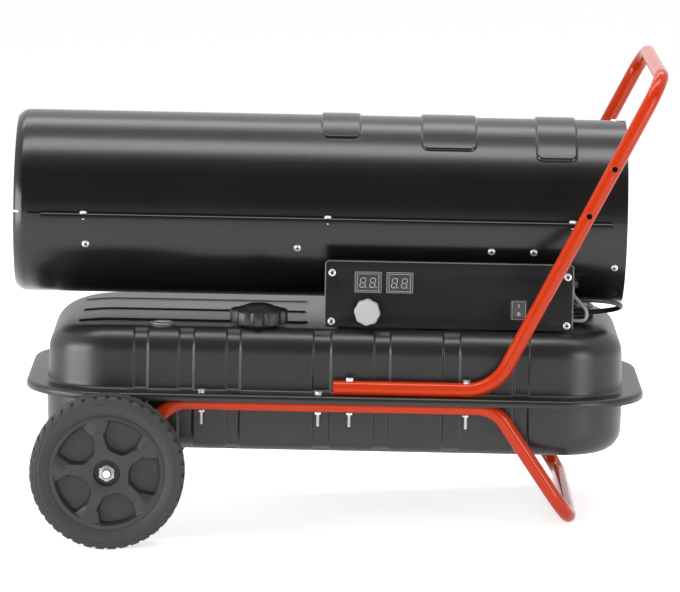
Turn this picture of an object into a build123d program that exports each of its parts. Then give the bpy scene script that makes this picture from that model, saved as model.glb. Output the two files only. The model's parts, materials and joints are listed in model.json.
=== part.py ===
from build123d import *
import os
from math import asin, atan2, cos, degrees, hypot, pi, radians, sin, sqrt, tan

# Forced air heater: a barrel with burner and fan, over a fuel tank, on a two-wheeled tube frame.
# Millimetres. Every piece is drawn on the level machine: x runs to the rear from the axle, y to the
# far side, z up from the axle. The near side (y < 0) carries the controls. The whole machine is then
# leaned back until the wheels and the foot stand on the floor, z = 0, under its middle.

# ---- driving dimensions ----------------------------------------------------------------------
sheet = 1.2                      # steel sheet of tank, barrel and box
touch = 0.3                      # play where pressed pieces pass each other
run_fit = 0.05                   # radial clearance of a turning shaft

wheel_radius = 100.0
wheel_width = 44.0
tyre_depth = 25.0
hub_recess_radius = 17.0
hub_recess_depth = 8.0
hub_wall = 6.0
hub_lead = 3.6                   # hub past the tyre on the frame side
rim_inset = 5.0                  # rim face inside the tyre's
pocket_count = 5
pocket_outer = 67.5
pocket_corners = [(30.7, 20.0), (49.0, 27.0), (pocket_outer, 21.5)]      # radius, half angle
pocket_depth = 9.0
pocket_turn = -4.0
pocket_corner = 4.0
lug_count = 40
lug_groove = 5.0
lug_depth = 3.0
lug_length = 13.0
tyre_shoulder = 5.0
axle_radius = 6.0
axle_end = 3.5                   # axle past its nut
nut_flats = 19.0
nut_height = 10.0
washer_thickness = 2.0
washer_radius = 12.0
side_play = 0.4

tube_radius = 9.5
tube_wall = 1.5
frame_half_width = 182.0
frame_bend_x = 83.0              # where the runner turns down to the axle
frame_bend_radius = 45.0
foot_knee_x = 499.0
foot_reach = 600.0
foot_drop = 62.0
foot_corner_radius = 42.0
sleeve_radius = 11.0
sleeve_length = 30.0

flange_top = 97.5
flange_overhang = 28.0
flange_rim = 10.0
tank_front = -85.0
tank_length = 753.0
tank_width = 338.0
tank_corner = 83.0
tank_top = 177.0
tank_bottom = 21.0
tank_draft = 1.5
tank_top_edge = 31.0
tank_bottom_edge = 28.0
band_depth = 2.5
band_end = 124.0                 # half width left plain across the top
band_foot = 9.0
bands = [(39, 18), (98, 19), (159, 18), (274, 23), (352, 21), (442, 22), (533, 20)]   # x, width
bead_spacing = 87.0
bead_width = 14.0
bead_height = 1.8
bead_front = -46.0
bead_length = 300.0
spacer_thickness = 1.6

bolt_radius = 3.0
bolt_head_flats = 10.0
bolt_head_height = 4.5
bolt_nut_height = 5.0
bolt_tip_z = 56.0
bolt_dimple = 0.5                # flat under each bolt head on the handle tube
dimple_radius = 6.5
frame_bolt_x = [119.0, 270.0]
handle_bolt_x = [310.5, 461.5]

handle_front = 291.0
handle_knee_x = 497.0
handle_top_x = 704.0
handle_top_z = 517.0
handle_knee_radius = 60.0
handle_corner_radius = 42.0
plug_dome = 2.5
plug_edge = 2.0
insert_heights = [338.6, 400.3]  # rivet nuts in the handle legs
insert_flange_radius = 6.0
insert_radius = 4.5
insert_bore = 2.5                # M6 core
insert_length = 12.0
insert_flange = 1.0
insert_sink = 1.2                # countersink of the tube's holes for the rivet nuts

barrel_z = 320.0
barrel_radius = 120.0
barrel_front = -132.0
barrel_rear = 668.0
lip_length = 14.0
lip_drop = 4.5
lip_swell = 0.9
seam_front = -95.0
seam_rear = 648.0
ledge = 12.0
ledge_lip = 7.0
pad_height = 2.5
pads = [(268, 50, 35.0), (399, 71, 43.5), (549, 52, 50.0)]     # x, length, half angle from the top
seam_screw_x = [-40.0, 278.0, 596.0]
shell_screw_x = [-37.0, 239.0, 492.0, 547.0]
shell_screw_angle = 20.0         # below the seam
rear_screw_inset = 15.0
rear_screw_angles = [90, 210, 330]
screw_radius = 2.0
screw_head_radius = 3.8
screw_head_height = 2.4
screw_length = 11.0

saddle_x = [302.0, 505.0]
saddle_half_width = 60.0
saddle_strap = 26.0
saddle_sheet = 2.0
saddle_open = 100.0              # height under the axis where the saddle ends
wire_x = 350.0
wire_hole = 8.0

chamber_radius = 95.0
chamber_front = -104.0
chamber_rear = 330.0
chamber_mouth = 78.0
disc_radius = 52.0
disc_inset = 12.0
burner_radius = 34.0
burner_length = 62.0
burner_port = 28.0
nozzle_radius = 8.0
nozzle_length = 46.0
electrode_radius = 3.0
electrode_spread = 15.0
bracket_angles = [90, 210, 330]
bracket_x = [-70.0, 290.0]
bracket_length = 22.0

fan_x = 440.0
fan_depth = 26.0
fan_radius = 100.0
fan_hub_radius = 22.0
blade_count = 5
blade_angle = 32.0
blade_thickness = 2.0
blade_chord = 48.0
shaft_radius = 5.0
motor_front = 485.0
motor_length = 92.0
motor_radius = 50.0
pump_radius = 42.0
pump_length = 30.0
rotor_radius = 29.0
rotor_length = 16.0
cover_length = 24.0
guard_depth = 10.0
guard_wire = 1.4
guard_spoke = 1.6
spoke_behind = 1.9               # spoke axes in front of the ring axes
spoke_start = 12.0
guard_rings = [16.0, 33.0, 50.0, 67.0, 84.0, 101.0]
guard_spokes = 6

panel_y = -135.0                 # outer face of the control panel
panel_front = 276.0
panel_length = 323.0
panel_bottom = 179.0
panel_height = 87.5
panel_corner = 5.0
panel_sheet = 1.5
box_inset = 16.0                 # panel past the box at each end
box_back = -75.0
panel_screw_x = [285.0, 591.5]
panel_screw_z = [186.5, 250.5]
display_x = [331.8, 373.0]
display_z = 239.0
display_width = 35.0
display_height = 27.6
display_proud = 1.6
display_depth = 12.0
display_wall = 1.6
knob_x = 331.3
knob_z = 200.7
knob_radius = 17.5
knob_height = 17.0
knob_lobes = 8
spindle_radius = 3.0
spindle_length = 14.0
pot_radius = 9.0
pot_length = 12.0
rocker_x = 528.5
rocker_z = 206.0
rocker_width = 14.6
rocker_height = 20.0
rocker_tilt = 10.0
switch_width = 21.0
switch_height = 26.5
switch_depth = 18.0
switch_proud = 2.0
pivot_radius = 1.5

cap_x = 190.5
cap_y = -115.0
cap_radius = 38.0
cap_height = 17.0
cap_cone = 9.5
cap_lobes = 10
cap_gap = 3.0
neck_radius = 24.0
neck_height = 10.0
neck_wall = 2.0
strainer_depth = 90.0
strainer_rows = 6
strainer_slots = 12
strainer_pitch = 13.0
strainer_slot = 3.0
liner_depth = 8.0
liner_flange = 2.0
liner_boss_height = 8.0
cap_scallop = 8.0
liner_boss = 12.0
gauge_x = 65.0
gauge_y = -130.0
gauge_radius = 17.5
gauge_height = 4.5
gauge_window = 13.5
gauge_floor = 1.0
lens_thickness = 1.2
pointer_length = 20.0
pointer_width = 2.0
pointer_thickness = 0.6
pointer_post = 1.0
pointer_hub = 2.5
stem_radius = 6.0
float_pivot_z = 99.0
float_arm = 85.0
float_radius = 12.0
float_width = 24.0
float_pin = 1.5
float_eye = 4.0
fork_thickness = 2.0
fork_play = 0.4
fork_drop = 2.5                  # the raised arm's room under the stem
float_rest = 45.0                # arm below level when the tank is empty
drain_x = 291.0
drain_radius = 8.0
drain_head = 6.0
line_x = 591.0                   # fuel line's elbow on the tank
line_y = -105.0
line_radius = 2.5
line_bore = 1.5
elbow_radius = 4.0
elbow_height = 12.0
bulkhead_x = 600.0
bulkhead_angle = 225.0
bulkhead_nut = 7.0
bulkhead_inner = 100.0

cord_radius = 3.3
cord_gap = 0.5
relief_length = 22.0
relief_y = -86.0
relief_z = 214.0
coil_x = 585.0
coil_y = 24.0
coil_radius = 50.0
coil_half_turns = 5              # of each layer, before the turn that changes layer
lead_from_box = [(36.0, 0.0, 0.0), (60.0, 18.0, -8.0)]         # turns of the lead, from the box
lead_to_coil = [(81.0, -16.0, 9.6), (60.0, 0.0, 2.6), (29.0, 0.0, 0.0)]        # and from the coil
tail_from_coil = [(0.0, 34.0, 0.0), (-20.0, 62.0, 6.0)]
plug_from_coil = (-80.0, 76.0)
plug_run = 28.0
bend_share = 0.45                # of the shorter run taken by each bend
plug_radius = 18.0
plug_neck = 12.0
plug_length = 40.0
pin_length = 19.0
pin_radius = 2.4
pin_spacing = 19.0

chamber_cone = 26.0
disc_arm = 12.0
burner_rim = 9.0
electrode_angles = [60, 120]
electrode_start = 16.0
sensor_x = 362.0
sensor_angle = 45.0
sensor_radius = 6.0
sensor_length = 22.0
motor_edge = 5.0
motor_ribs = 24
motor_foot = 22.0
rib_gap = 4.0
rib_depth = 3.0
pump_wall = 4.0
rotor_play = 1.0
guard_set_in = 2.0
box_foot_x = [317.0, 565.5]
box_foot = 10.0
switch_rim = 1.2
board_z = 222.0
board_length = 96.0
board_height = 62.0
board_thickness = 1.6
transformer_x = 465.0
transformer_size = (72.0, 44.0, 42.0)
bushing_radius = 4.5
bushing_proud = 4.0
knob_gap = 1.0
knob_lobe = 2.6
knob_edge = 1.5
rocker_rise = 4.5
rocker_dip = 3.6
rocker_back = 2.0
rocker_belly = 5.0
pivot_length = 1.0
suction_length = 120.0
filter_radius = 10.0
filter_length = 26.0
pipe_turn = 82.0
pipe_bends = [8, 20, 20, 20, 8]
hose_reach = 22.0
hose_rise = 14.0
hose_end = 13.0
hose_bends = [7, 10, 8]

# ---- values that follow --------------------------------------------------------------------
seam_z = flange_top - sheet
tank_x = tank_front + tank_length / 2
runner_z = seam_z - sheet - spacer_thickness - tube_radius
handle_z = flange_top + tube_radius
insert_face = frame_half_width + tube_radius
bolt_seat = handle_z + tube_radius - bolt_dimple
box_front = panel_front + box_inset
box_rear = panel_front + panel_length - box_inset
panel_back = panel_y + panel_sheet
barrel_bore = barrel_radius - sheet
chamber_inner = chamber_radius - sheet
barrel_axis = Axis((0, 0, barrel_z), (1, 0, 0))
motor_rear = motor_front + motor_length
pump_rear = motor_rear + pump_length
washer_face = frame_half_width + sleeve_length / 2
hub_inner = washer_face + washer_thickness + side_play
wheel_outer = hub_inner + hub_lead + wheel_width
rim_outer = wheel_outer - rim_inset
rim_inner = wheel_outer - wheel_width + rim_inset
rim_radius = wheel_radius - tyre_depth
hub_outer = rim_outer - hub_recess_depth
lean = degrees(asin((wheel_radius - tube_radius) / hypot(foot_reach, foot_drop))
               - atan2(foot_drop, foot_reach))

pieces = {}
cord_names = []


def keep(name, solid, cord=False):
    # stores a finished piece under its name, still on the level machine
    pieces[name] = solid
    if cord:
        cord_names.append(name)


def along(x):
    # sketch plane across the machine at x: sketch x is machine y, sketch y is machine z
    return Plane.YZ.offset(x)


def facing(y):
    # sketch plane that faces the near side at y: sketch x is machine x, sketch y is machine z
    return Plane.XZ.offset(-y)


def radial(angle, radius):
    # y and z of a point at an angle round the barrel, 0 on the far side, 90 on top
    return radius * cos(radians(angle)), barrel_z + radius * sin(radians(angle))


def tube(path, outer, wall):
    # hollow round tube along a path
    with BuildPart(mode=Mode.PRIVATE) as made:
        with BuildSketch(Plane(origin=path @ 0, z_dir=path % 0)):
            Circle(outer)
            if wall:
                Circle(outer - wall, mode=Mode.SUBTRACT)
        sweep(path=path)
    return made.part


def bar(start, end, radius):
    # solid round bar between two points
    way = Vector(*end) - Vector(*start)
    with BuildPart(mode=Mode.PRIVATE) as made:
        with BuildSketch(Plane(origin=start, z_dir=way)):
            Circle(radius)
        extrude(amount=way.length)
    return made.part


# ---- frame -------------------------------------------------------------------------------------
with BuildPart() as frame_tube:
    with BuildLine() as runner:
        near, far = -frame_half_width, frame_half_width
        FilletPolyline(
            (0, near, 0), (frame_bend_x, near, runner_z), (foot_knee_x, near, runner_z),
            (foot_reach, near, -foot_drop), (foot_reach, far, -foot_drop),
            (foot_knee_x, far, runner_z), (frame_bend_x, far, runner_z), (0, far, 0),
            radius=[frame_bend_radius, frame_bend_radius, foot_corner_radius,
                    foot_corner_radius, frame_bend_radius, frame_bend_radius])
    with BuildSketch(Plane(origin=runner.line @ 0, z_dir=runner.line % 0)):
        Circle(tube_radius)
        Circle(tube_radius - tube_wall, mode=Mode.SUBTRACT)
    sweep(path=runner.line)
    for side in (-1, 1):
        with Locations(Plane(origin=(0, side * frame_half_width, 0), z_dir=(0, 1, 0))):
            Cylinder(sleeve_radius, sleeve_length)
            Cylinder(axle_radius + run_fit, sleeve_length, mode=Mode.SUBTRACT)
        for x in frame_bolt_x + handle_bolt_x:
            with Locations((x, side * frame_half_width, runner_z)):
                Cylinder(bolt_radius + touch, 3 * tube_radius, mode=Mode.SUBTRACT)
keep("frame_tube", frame_tube.part)

with BuildPart() as handle_tube:
    with BuildLine() as grip:
        near, far = -frame_half_width, frame_half_width
        FilletPolyline(
            (handle_front, near, handle_z), (handle_knee_x, near, handle_z),
            (handle_top_x, near, handle_top_z), (handle_top_x, far, handle_top_z),
            (handle_knee_x, far, handle_z), (handle_front, far, handle_z),
            radius=[handle_knee_radius, handle_corner_radius, handle_corner_radius,
                    handle_knee_radius])
    with BuildSketch(Plane(origin=grip.line @ 0, z_dir=grip.line % 0)):
        Circle(tube_radius)
        Circle(tube_radius - tube_wall, mode=Mode.SUBTRACT)
    sweep(path=grip.line)
    leg_slope = (handle_top_x - handle_knee_x) / (handle_top_z - handle_z)
    insert_places = [(handle_knee_x + leg_slope * (z - handle_z), z) for z in insert_heights]
    for side in (-1, 1):
        for x in handle_bolt_x:
            with Locations((x, side * frame_half_width, handle_z)):
                Cylinder(bolt_radius + touch, 3 * tube_radius, mode=Mode.SUBTRACT)
            with Locations((x, side * frame_half_width, bolt_seat)):
                Cylinder(dimple_radius, tube_radius, mode=Mode.SUBTRACT,
                         align=(Align.CENTER, Align.CENTER, Align.MIN))
        for x, z in insert_places:
            with Locations(Plane(origin=(x, side * (insert_face - insert_sink), z), z_dir=(0, side, 0))):
                Cylinder(insert_radius, tube_radius, mode=Mode.SUBTRACT)
                Cone(insert_radius, insert_radius + 2 * insert_sink, 2 * insert_sink,
                     mode=Mode.SUBTRACT, align=(Align.CENTER, Align.CENTER, Align.MIN))
keep("handle_tube", handle_tube.part)

with BuildPart() as handle_plugs:
    for side in (-1, 1):
        mouth = (handle_front, side * frame_half_width, handle_z)
        with BuildSketch(Plane(origin=mouth, z_dir=(1, 0, 0))):
            Circle(tube_radius - tube_wall)
        extrude(amount=tube_radius)
        with BuildSketch(Plane(origin=mouth, z_dir=(-1, 0, 0))):
            Circle(tube_radius)
        extrude(amount=plug_dome)
    fillet(handle_plugs.faces().group_by(Axis.X)[0].edges(), plug_edge)
keep("handle_plugs", handle_plugs.part)

with BuildPart() as rivet_nuts:
    for side in (-1, 1):
        for x, z in insert_places:
            outward = Plane(origin=(x, side * insert_face, z), z_dir=(0, side, 0))
            with BuildSketch(outward):
                Circle(insert_flange_radius)
            extrude(amount=insert_flange)
            with BuildSketch(outward):
                Circle(insert_radius)
            extrude(amount=-insert_length)
            with Locations(outward):
                Cylinder(insert_bore, 4 * insert_length, mode=Mode.SUBTRACT)
keep("rivet_nuts", rivet_nuts.part)

with BuildPart() as flange_bolts:
    for side in (-1, 1):
        y = side * frame_half_width
        for x in frame_bolt_x + handle_bolt_x:
            seat = flange_top if x in frame_bolt_x else bolt_seat
            with BuildSketch(Plane((x, y, seat))):
                RegularPolygon(bolt_head_flats / 2, 6, major_radius=False)
            extrude(amount=bolt_head_height)
            with BuildSketch(Plane((x, y, bolt_tip_z))):
                Circle(bolt_radius)
            extrude(amount=seat - bolt_tip_z)
            with BuildSketch(Plane((x, y, runner_z - tube_radius))):
                RegularPolygon(bolt_head_flats / 2, 6, major_radius=False)
            extrude(amount=-bolt_nut_height)
            with BuildSketch(Plane((x, y, runner_z + tube_radius))):
                Circle(tube_radius)
            extrude(amount=spacer_thickness)
keep("flange_bolts", flange_bolts.part)

# ---- axle and wheels ---------------------------------------------------------------------------
nut_face = hub_outer + side_play + washer_thickness
with BuildPart() as axle:
    with BuildSketch(facing(nut_face + nut_height + axle_end)):
        Circle(axle_radius)
    extrude(amount=2 * (nut_face + nut_height + axle_end))
    chamfer(axle.edges(), 1.0)
keep("axle", axle.part)

with BuildPart() as axle_nuts:
    for side in (-1, 1):
        outward = (0, side, 0)
        with BuildSketch(Plane(origin=(0, side * nut_face, 0), z_dir=outward)):
            RegularPolygon(nut_flats / 2, 6, major_radius=False)
            Circle(axle_radius, mode=Mode.SUBTRACT)
        extrude(amount=nut_height)
        for face in (washer_face, hub_outer + side_play):
            with BuildSketch(Plane(origin=(0, side * face, 0), z_dir=outward)):
                Circle(washer_radius)
                Circle(axle_radius, mode=Mode.SUBTRACT)
            extrude(amount=washer_thickness)
keep("axle_nuts", axle_nuts.part)


# one pocket of a wheel, between two spokes, drawn round the wheel's centre
with BuildSketch(Plane.XY) as pocket:
    with BuildLine():
        side = [(r * cos(radians(a)), r * sin(radians(a))) for r, a in pocket_corners]
        mirrored = [(x, -y) for x, y in side]
        Polyline(*reversed(side), *mirrored)
        ThreePointArc(mirrored[-1], (pocket_outer, 0), side[-1])
    make_face()
    fillet(pocket.vertices(), pocket_corner)


def wheel_hub(side):
    # moulded disc wheel with closed pockets in both faces and a recess for the axle nut
    with BuildPart(mode=Mode.PRIVATE) as made:
        with BuildSketch(Plane(origin=(0, side * rim_inner, 0), z_dir=(0, side, 0))):
            Circle(rim_radius)
        extrude(amount=rim_outer - rim_inner)
        with BuildSketch(Plane(origin=(0, side * hub_inner, 0), z_dir=(0, side, 0))):
            Circle(hub_recess_radius + hub_wall)
        extrude(amount=rim_inner - hub_inner)
        for face, inward in ((rim_outer, -side), (rim_inner, side)):
            with BuildSketch(Plane(origin=(0, side * face, 0), x_dir=(1, 0, 0), z_dir=(0, -1, 0))):
                with PolarLocations(0, pocket_count, start_angle=pocket_turn):
                    add(pocket.sketch)
            extrude(amount=pocket_depth, dir=(0, inward, 0), mode=Mode.SUBTRACT)
        with BuildSketch(Plane(origin=(0, side * hub_outer, 0), z_dir=(0, side, 0))):
            Circle(hub_recess_radius)
        extrude(amount=wheel_width, mode=Mode.SUBTRACT)
        with Locations(Plane(origin=(0, side * wheel_outer, 0), z_dir=(0, side, 0))):
            Cylinder(axle_radius + run_fit, 4 * wheel_width, mode=Mode.SUBTRACT)
    return made.part


def wheel_tyre(side):
    # solid tyre with lugs round both shoulders
    middle = side * (wheel_outer - wheel_width / 2)
    with BuildPart(mode=Mode.PRIVATE) as made:
        with BuildSketch(Plane.XY) as section:
            with Locations((wheel_radius - tyre_depth / 2, middle)):
                Rectangle(tyre_depth, wheel_width)
            fillet(section.vertices().sort_by(Axis.X)[-2:], tyre_shoulder)
        revolve(axis=Axis.Y)
        for end in (-1, 1):
            shoulder = Plane(origin=(0, middle + end * wheel_width / 2, 0), z_dir=(0, end, 0))
            with Locations(shoulder):
                with PolarLocations(wheel_radius, lug_count):
                    Box(2 * lug_depth, lug_groove, 2 * lug_length, mode=Mode.SUBTRACT)
    return made.part


for side, place in ((-1, "near"), (1, "far")):
    keep("wheel_hub_" + place, wheel_hub(side))
    keep("tyre_" + place, wheel_tyre(side))

# ---- fuel tank ---------------------------------------------------------------------------------


def pan_section(height, edge, inset):
    # half-open section of a pressing: sides on the seam plane, leaning in to a rounded edge
    foot = tank_width / 2 - inset
    head = foot - (height - inset) * tan(radians(tank_draft))
    with BuildSketch(Plane.XY, mode=Mode.PRIVATE) as section:
        with BuildLine():
            Polyline((-foot, 0), (foot, 0), (head, height - inset), (-head, height - inset), close=True)
        make_face()
        fillet(section.vertices().sort_by(Axis.Y)[-2:], edge - inset)
    return section.sketch


def pressing(height, edge, inset, with_beads):
    # one half of the tank as a solid that stands on the seam plane, its walls moved in by inset
    with BuildPart(mode=Mode.PRIVATE) as made:
        with BuildSketch(Plane.XY):
            RectangleRounded(tank_length - 2 * inset, tank_width - 2 * inset, tank_corner - inset)
        extrude(amount=height - inset, taper=tank_draft)
        fillet(made.faces().sort_by(Axis.Z)[-1].edges(), edge - inset)
        for x, width in bands:
            with BuildSketch(Plane.YZ.offset(x - tank_x - width / 2 - inset)):
                with Locations((0, height)):
                    Rectangle(2 * tank_width, 2 * (height - band_foot + inset))
                add(pan_section(height, edge, inset + band_depth), mode=Mode.SUBTRACT)
                with Locations((0, height)):
                    Rectangle(2 * (band_end - inset), 2 * height, mode=Mode.SUBTRACT)
            extrude(amount=width + 2 * inset, mode=Mode.SUBTRACT)
        if with_beads:
            for y in (-bead_spacing, 0, bead_spacing):
                with BuildSketch(Plane.XY.offset(height - inset - bead_height)):
                    with Locations((bead_front + bead_length / 2 - tank_x, y)):
                        SlotOverall(bead_length - 2 * inset, bead_width - 2 * inset)
                    with Locations((cap_x - tank_x, cap_y)):    # the bead gives way to the neck
                        Circle(neck_radius + touch + inset, mode=Mode.SUBTRACT)
                extrude(amount=2 * bead_height)
    return made.part


upper_height = tank_top - seam_z
lower_height = seam_z - tank_bottom
upper_place = Location((tank_x, 0, seam_z))
lower_place = Location((tank_x, 0, seam_z)) * Rotation(180, 0, 0)
upper_solid = pressing(upper_height, tank_top_edge, 0, True)
upper_hollow = pressing(upper_height, tank_top_edge, sheet, True)
lower_solid = pressing(lower_height, tank_bottom_edge, 0, False)
lower_hollow = pressing(lower_height, tank_bottom_edge, sheet, False)

with BuildPart() as tank_upper:
    with BuildSketch(Plane.XY.offset(flange_top - flange_rim)):
        with Locations((tank_x, 0)):
            RectangleRounded(tank_length + 2 * flange_overhang, tank_width + 2 * flange_overhang,
                             tank_corner + flange_overhang)
    extrude(amount=flange_rim)
    fillet(tank_upper.faces().sort_by(Axis.Z)[-1].edges(), sheet)
    with BuildSketch(Plane.XY.offset(flange_top - flange_rim)):
        with Locations((tank_x, 0)):
            inside = flange_overhang - sheet
            RectangleRounded(tank_length + 2 * inside, tank_width + 2 * inside, tank_corner + inside)
    extrude(amount=flange_rim - sheet, mode=Mode.SUBTRACT)
    with Locations(upper_place):
        add(upper_solid)
        add(upper_hollow, mode=Mode.SUBTRACT)
    for x, y, radius in ((cap_x, cap_y, neck_radius - neck_wall), (gauge_x, gauge_y, stem_radius)):
        with Locations((x, y, tank_top)):
            Cylinder(radius, 2 * tank_top_edge, mode=Mode.SUBTRACT)
    with Locations((line_x, line_y, tank_top)):
        Cylinder(line_bore, 4 * sheet, mode=Mode.SUBTRACT)
    for side in (-1, 1):
        for x in frame_bolt_x + handle_bolt_x:
            with Locations((x, side * frame_half_width, flange_top)):
                Cylinder(bolt_radius + touch, 2 * flange_rim, mode=Mode.SUBTRACT)
keep("tank_upper", tank_upper.part)

with BuildPart() as tank_lower:
    with BuildSketch(Plane.XY.offset(seam_z - sheet)):
        with Locations((tank_x, 0)):
            inside = flange_overhang - sheet - touch
            RectangleRounded(tank_length + 2 * inside, tank_width + 2 * inside, tank_corner + inside)
    extrude(amount=sheet)
    with Locations(lower_place):
        add(lower_solid)
        add(lower_hollow, mode=Mode.SUBTRACT)
    with Locations((drain_x, 0, tank_bottom)):
        Cylinder(drain_radius, 6 * sheet, mode=Mode.SUBTRACT)
    for side in (-1, 1):
        for x in frame_bolt_x + handle_bolt_x:
            with Locations((x, side * frame_half_width, seam_z)):
                Cylinder(bolt_radius + touch, 2 * flange_rim, mode=Mode.SUBTRACT)
keep("tank_lower", tank_lower.part)

with BuildPart() as drain_plug:
    with BuildSketch(Plane.XY.offset(tank_bottom)):
        with Locations((drain_x, 0)):
            RegularPolygon(drain_radius + 4, 6, major_radius=False)
    extrude(amount=-drain_head)
    with BuildSketch(Plane.XY.offset(tank_bottom)):
        with Locations((drain_x, 0)):
            Circle(drain_radius)
    extrude(amount=drain_head)
keep("drain_plug", drain_plug.part)

with BuildPart() as filler_neck:
    with BuildSketch(Plane.XY.offset(tank_top)):
        with Locations((cap_x, cap_y)):
            Circle(neck_radius)
            Circle(neck_radius - neck_wall, mode=Mode.SUBTRACT)
    extrude(amount=neck_height)
keep("filler_neck", filler_neck.part)

with BuildPart() as filler_strainer:
    basket = neck_radius - neck_wall - touch
    with BuildSketch(Plane.XY.offset(tank_top + sheet)):
        with Locations((cap_x, cap_y)):
            Circle(basket)
            Circle(basket - 2 * sheet, mode=Mode.SUBTRACT)
    extrude(amount=-strainer_depth)
    with BuildSketch(Plane.XY.offset(tank_top + sheet - strainer_depth)):
        with Locations((cap_x, cap_y)):
            Circle(basket)
    extrude(amount=-sheet)
    for level in range(strainer_rows):
        with Locations((cap_x, cap_y, tank_top - strainer_pitch * (level + 1))):
            with PolarLocations(basket, strainer_slots):
                Box(6 * sheet, strainer_slot, strainer_pitch / 2, mode=Mode.SUBTRACT)
keep("filler_strainer", filler_strainer.part)

# the cap's inner plug seals the neck; the lobed cap turns on its boss
neck_mouth = tank_top + neck_height
with BuildPart() as cap_liner:
    with BuildSketch(Plane.XY.offset(neck_mouth)):
        with Locations((cap_x, cap_y)):
            Circle(neck_radius)
    extrude(amount=liner_flange)
    with BuildSketch(Plane.XY.offset(neck_mouth)):
        with Locations((cap_x, cap_y)):
            Circle(neck_radius - neck_wall - 3 * touch)
    extrude(amount=-liner_depth)
    with BuildSketch(Plane.XY.offset(neck_mouth + liner_flange)):
        with Locations((cap_x, cap_y)):
            Circle(liner_boss)
    extrude(amount=liner_boss_height)
keep("cap_liner", cap_liner.part)

liner_top = neck_mouth + liner_flange
cap_bottom = tank_top + cap_gap
with BuildPart() as fuel_cap:
    with BuildSketch(Plane.XY.offset(cap_bottom)):
        with Locations((cap_x, cap_y)):
            Circle(cap_radius)
            with PolarLocations(cap_radius + cap_scallop / 2, cap_lobes):
                Circle(cap_scallop, mode=Mode.SUBTRACT)
    extrude(amount=cap_height)
    fillet(fuel_cap.faces().sort_by(Axis.Z)[-1].edges(), sheet)
    with Locations((cap_x, cap_y, cap_bottom + cap_height)):
        Cone(cap_radius - cap_scallop - sheet, liner_boss - sheet, cap_cone,
             align=(Align.CENTER, Align.CENTER, Align.MIN))
    with BuildSketch(Plane.XY.offset(cap_bottom)):
        with Locations((cap_x, cap_y)):
            Circle(neck_radius + 2 * touch)
    extrude(amount=liner_top + touch - cap_bottom, mode=Mode.SUBTRACT)
    with BuildSketch(Plane.XY.offset(liner_top)):
        with Locations((cap_x, cap_y)):
            Circle(liner_boss + run_fit)
    extrude(amount=liner_boss_height + touch, mode=Mode.SUBTRACT)
keep("fuel_cap", fuel_cap.part)

# ---- fuel gauge: a float arm in the tank turns the pointer under the lens ---------------------
window_floor = tank_top + gauge_floor
lens_z = tank_top + gauge_height - lens_thickness
fork_half = float_pin + fork_play
with BuildPart() as gauge_case:
    with BuildSketch(Plane.XY.offset(tank_top)):
        with Locations((gauge_x, gauge_y)):
            Circle(gauge_radius)
    extrude(amount=gauge_height)
    chamfer(gauge_case.faces().sort_by(Axis.Z)[-1].edges(), sheet)
    with BuildSketch(Plane.XY.offset(window_floor)):
        with Locations((gauge_x, gauge_y)):
            Circle(gauge_window)
    extrude(amount=gauge_height, mode=Mode.SUBTRACT)
    with BuildSketch(Plane.XY.offset(window_floor)):
        with Locations((gauge_x, gauge_y)):
            Circle(pointer_post)
    extrude(amount=lens_z - window_floor - touch)
    with BuildSketch(Plane.XY.offset(tank_top)):
        with Locations((gauge_x, gauge_y)):
            Circle(stem_radius - touch)
    extrude(amount=float_pivot_z + float_eye + fork_drop - tank_top)
    for end in (-1, 1):
        with Locations((gauge_x, gauge_y + end * (fork_half + fork_thickness / 2), float_pivot_z)):
            Box(2 * float_eye, fork_thickness, 2 * (float_eye + fork_drop) + sheet)
    with BuildSketch(facing(gauge_y + fork_half + fork_thickness)):
        with Locations((gauge_x, float_pivot_z)):
            Circle(float_pin)
    extrude(amount=2 * (fork_half + fork_thickness))
keep("gauge_case", gauge_case.part)

with BuildPart() as gauge_lens:
    with BuildSketch(Plane.XY.offset(lens_z)):
        with Locations((gauge_x, gauge_y)):
            Circle(gauge_window)
    extrude(amount=lens_thickness)
keep("gauge_lens", gauge_lens.part)

with BuildPart() as gauge_pointer:
    with BuildSketch(Plane.XY.offset(window_floor + touch)):
        with Locations((gauge_x, gauge_y)):
            with Locations((-pointer_length / 8, 0)):
                SlotOverall(pointer_length, pointer_width)
            Circle(pointer_hub)
            Circle(pointer_post + run_fit, mode=Mode.SUBTRACT)
    extrude(amount=pointer_thickness)
keep("gauge_pointer", gauge_pointer.part)

with BuildPart() as float_arm_and_float:
    reach = Vector(cos(radians(float_rest)), 0, -sin(radians(float_rest)))
    pivot = Vector(gauge_x, gauge_y, float_pivot_z)
    with BuildSketch(facing(gauge_y + float_pin)):
        with Locations((gauge_x, float_pivot_z)):
            Circle(float_eye)
    extrude(amount=2 * float_pin)
    add(bar(tuple(pivot + reach * (float_eye - touch)), tuple(pivot + reach * float_arm), float_pin))
    with Locations(Plane(origin=pivot + reach * float_arm, z_dir=(0, 1, 0))):
        Cylinder(float_radius, float_width)
    with Locations(Plane(origin=pivot, z_dir=(0, 1, 0))):
        Cylinder(float_pin + run_fit, 4 * float_pin, mode=Mode.SUBTRACT)
keep("float_arm", float_arm_and_float.part)

# ---- barrel ------------------------------------------------------------------------------------


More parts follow.
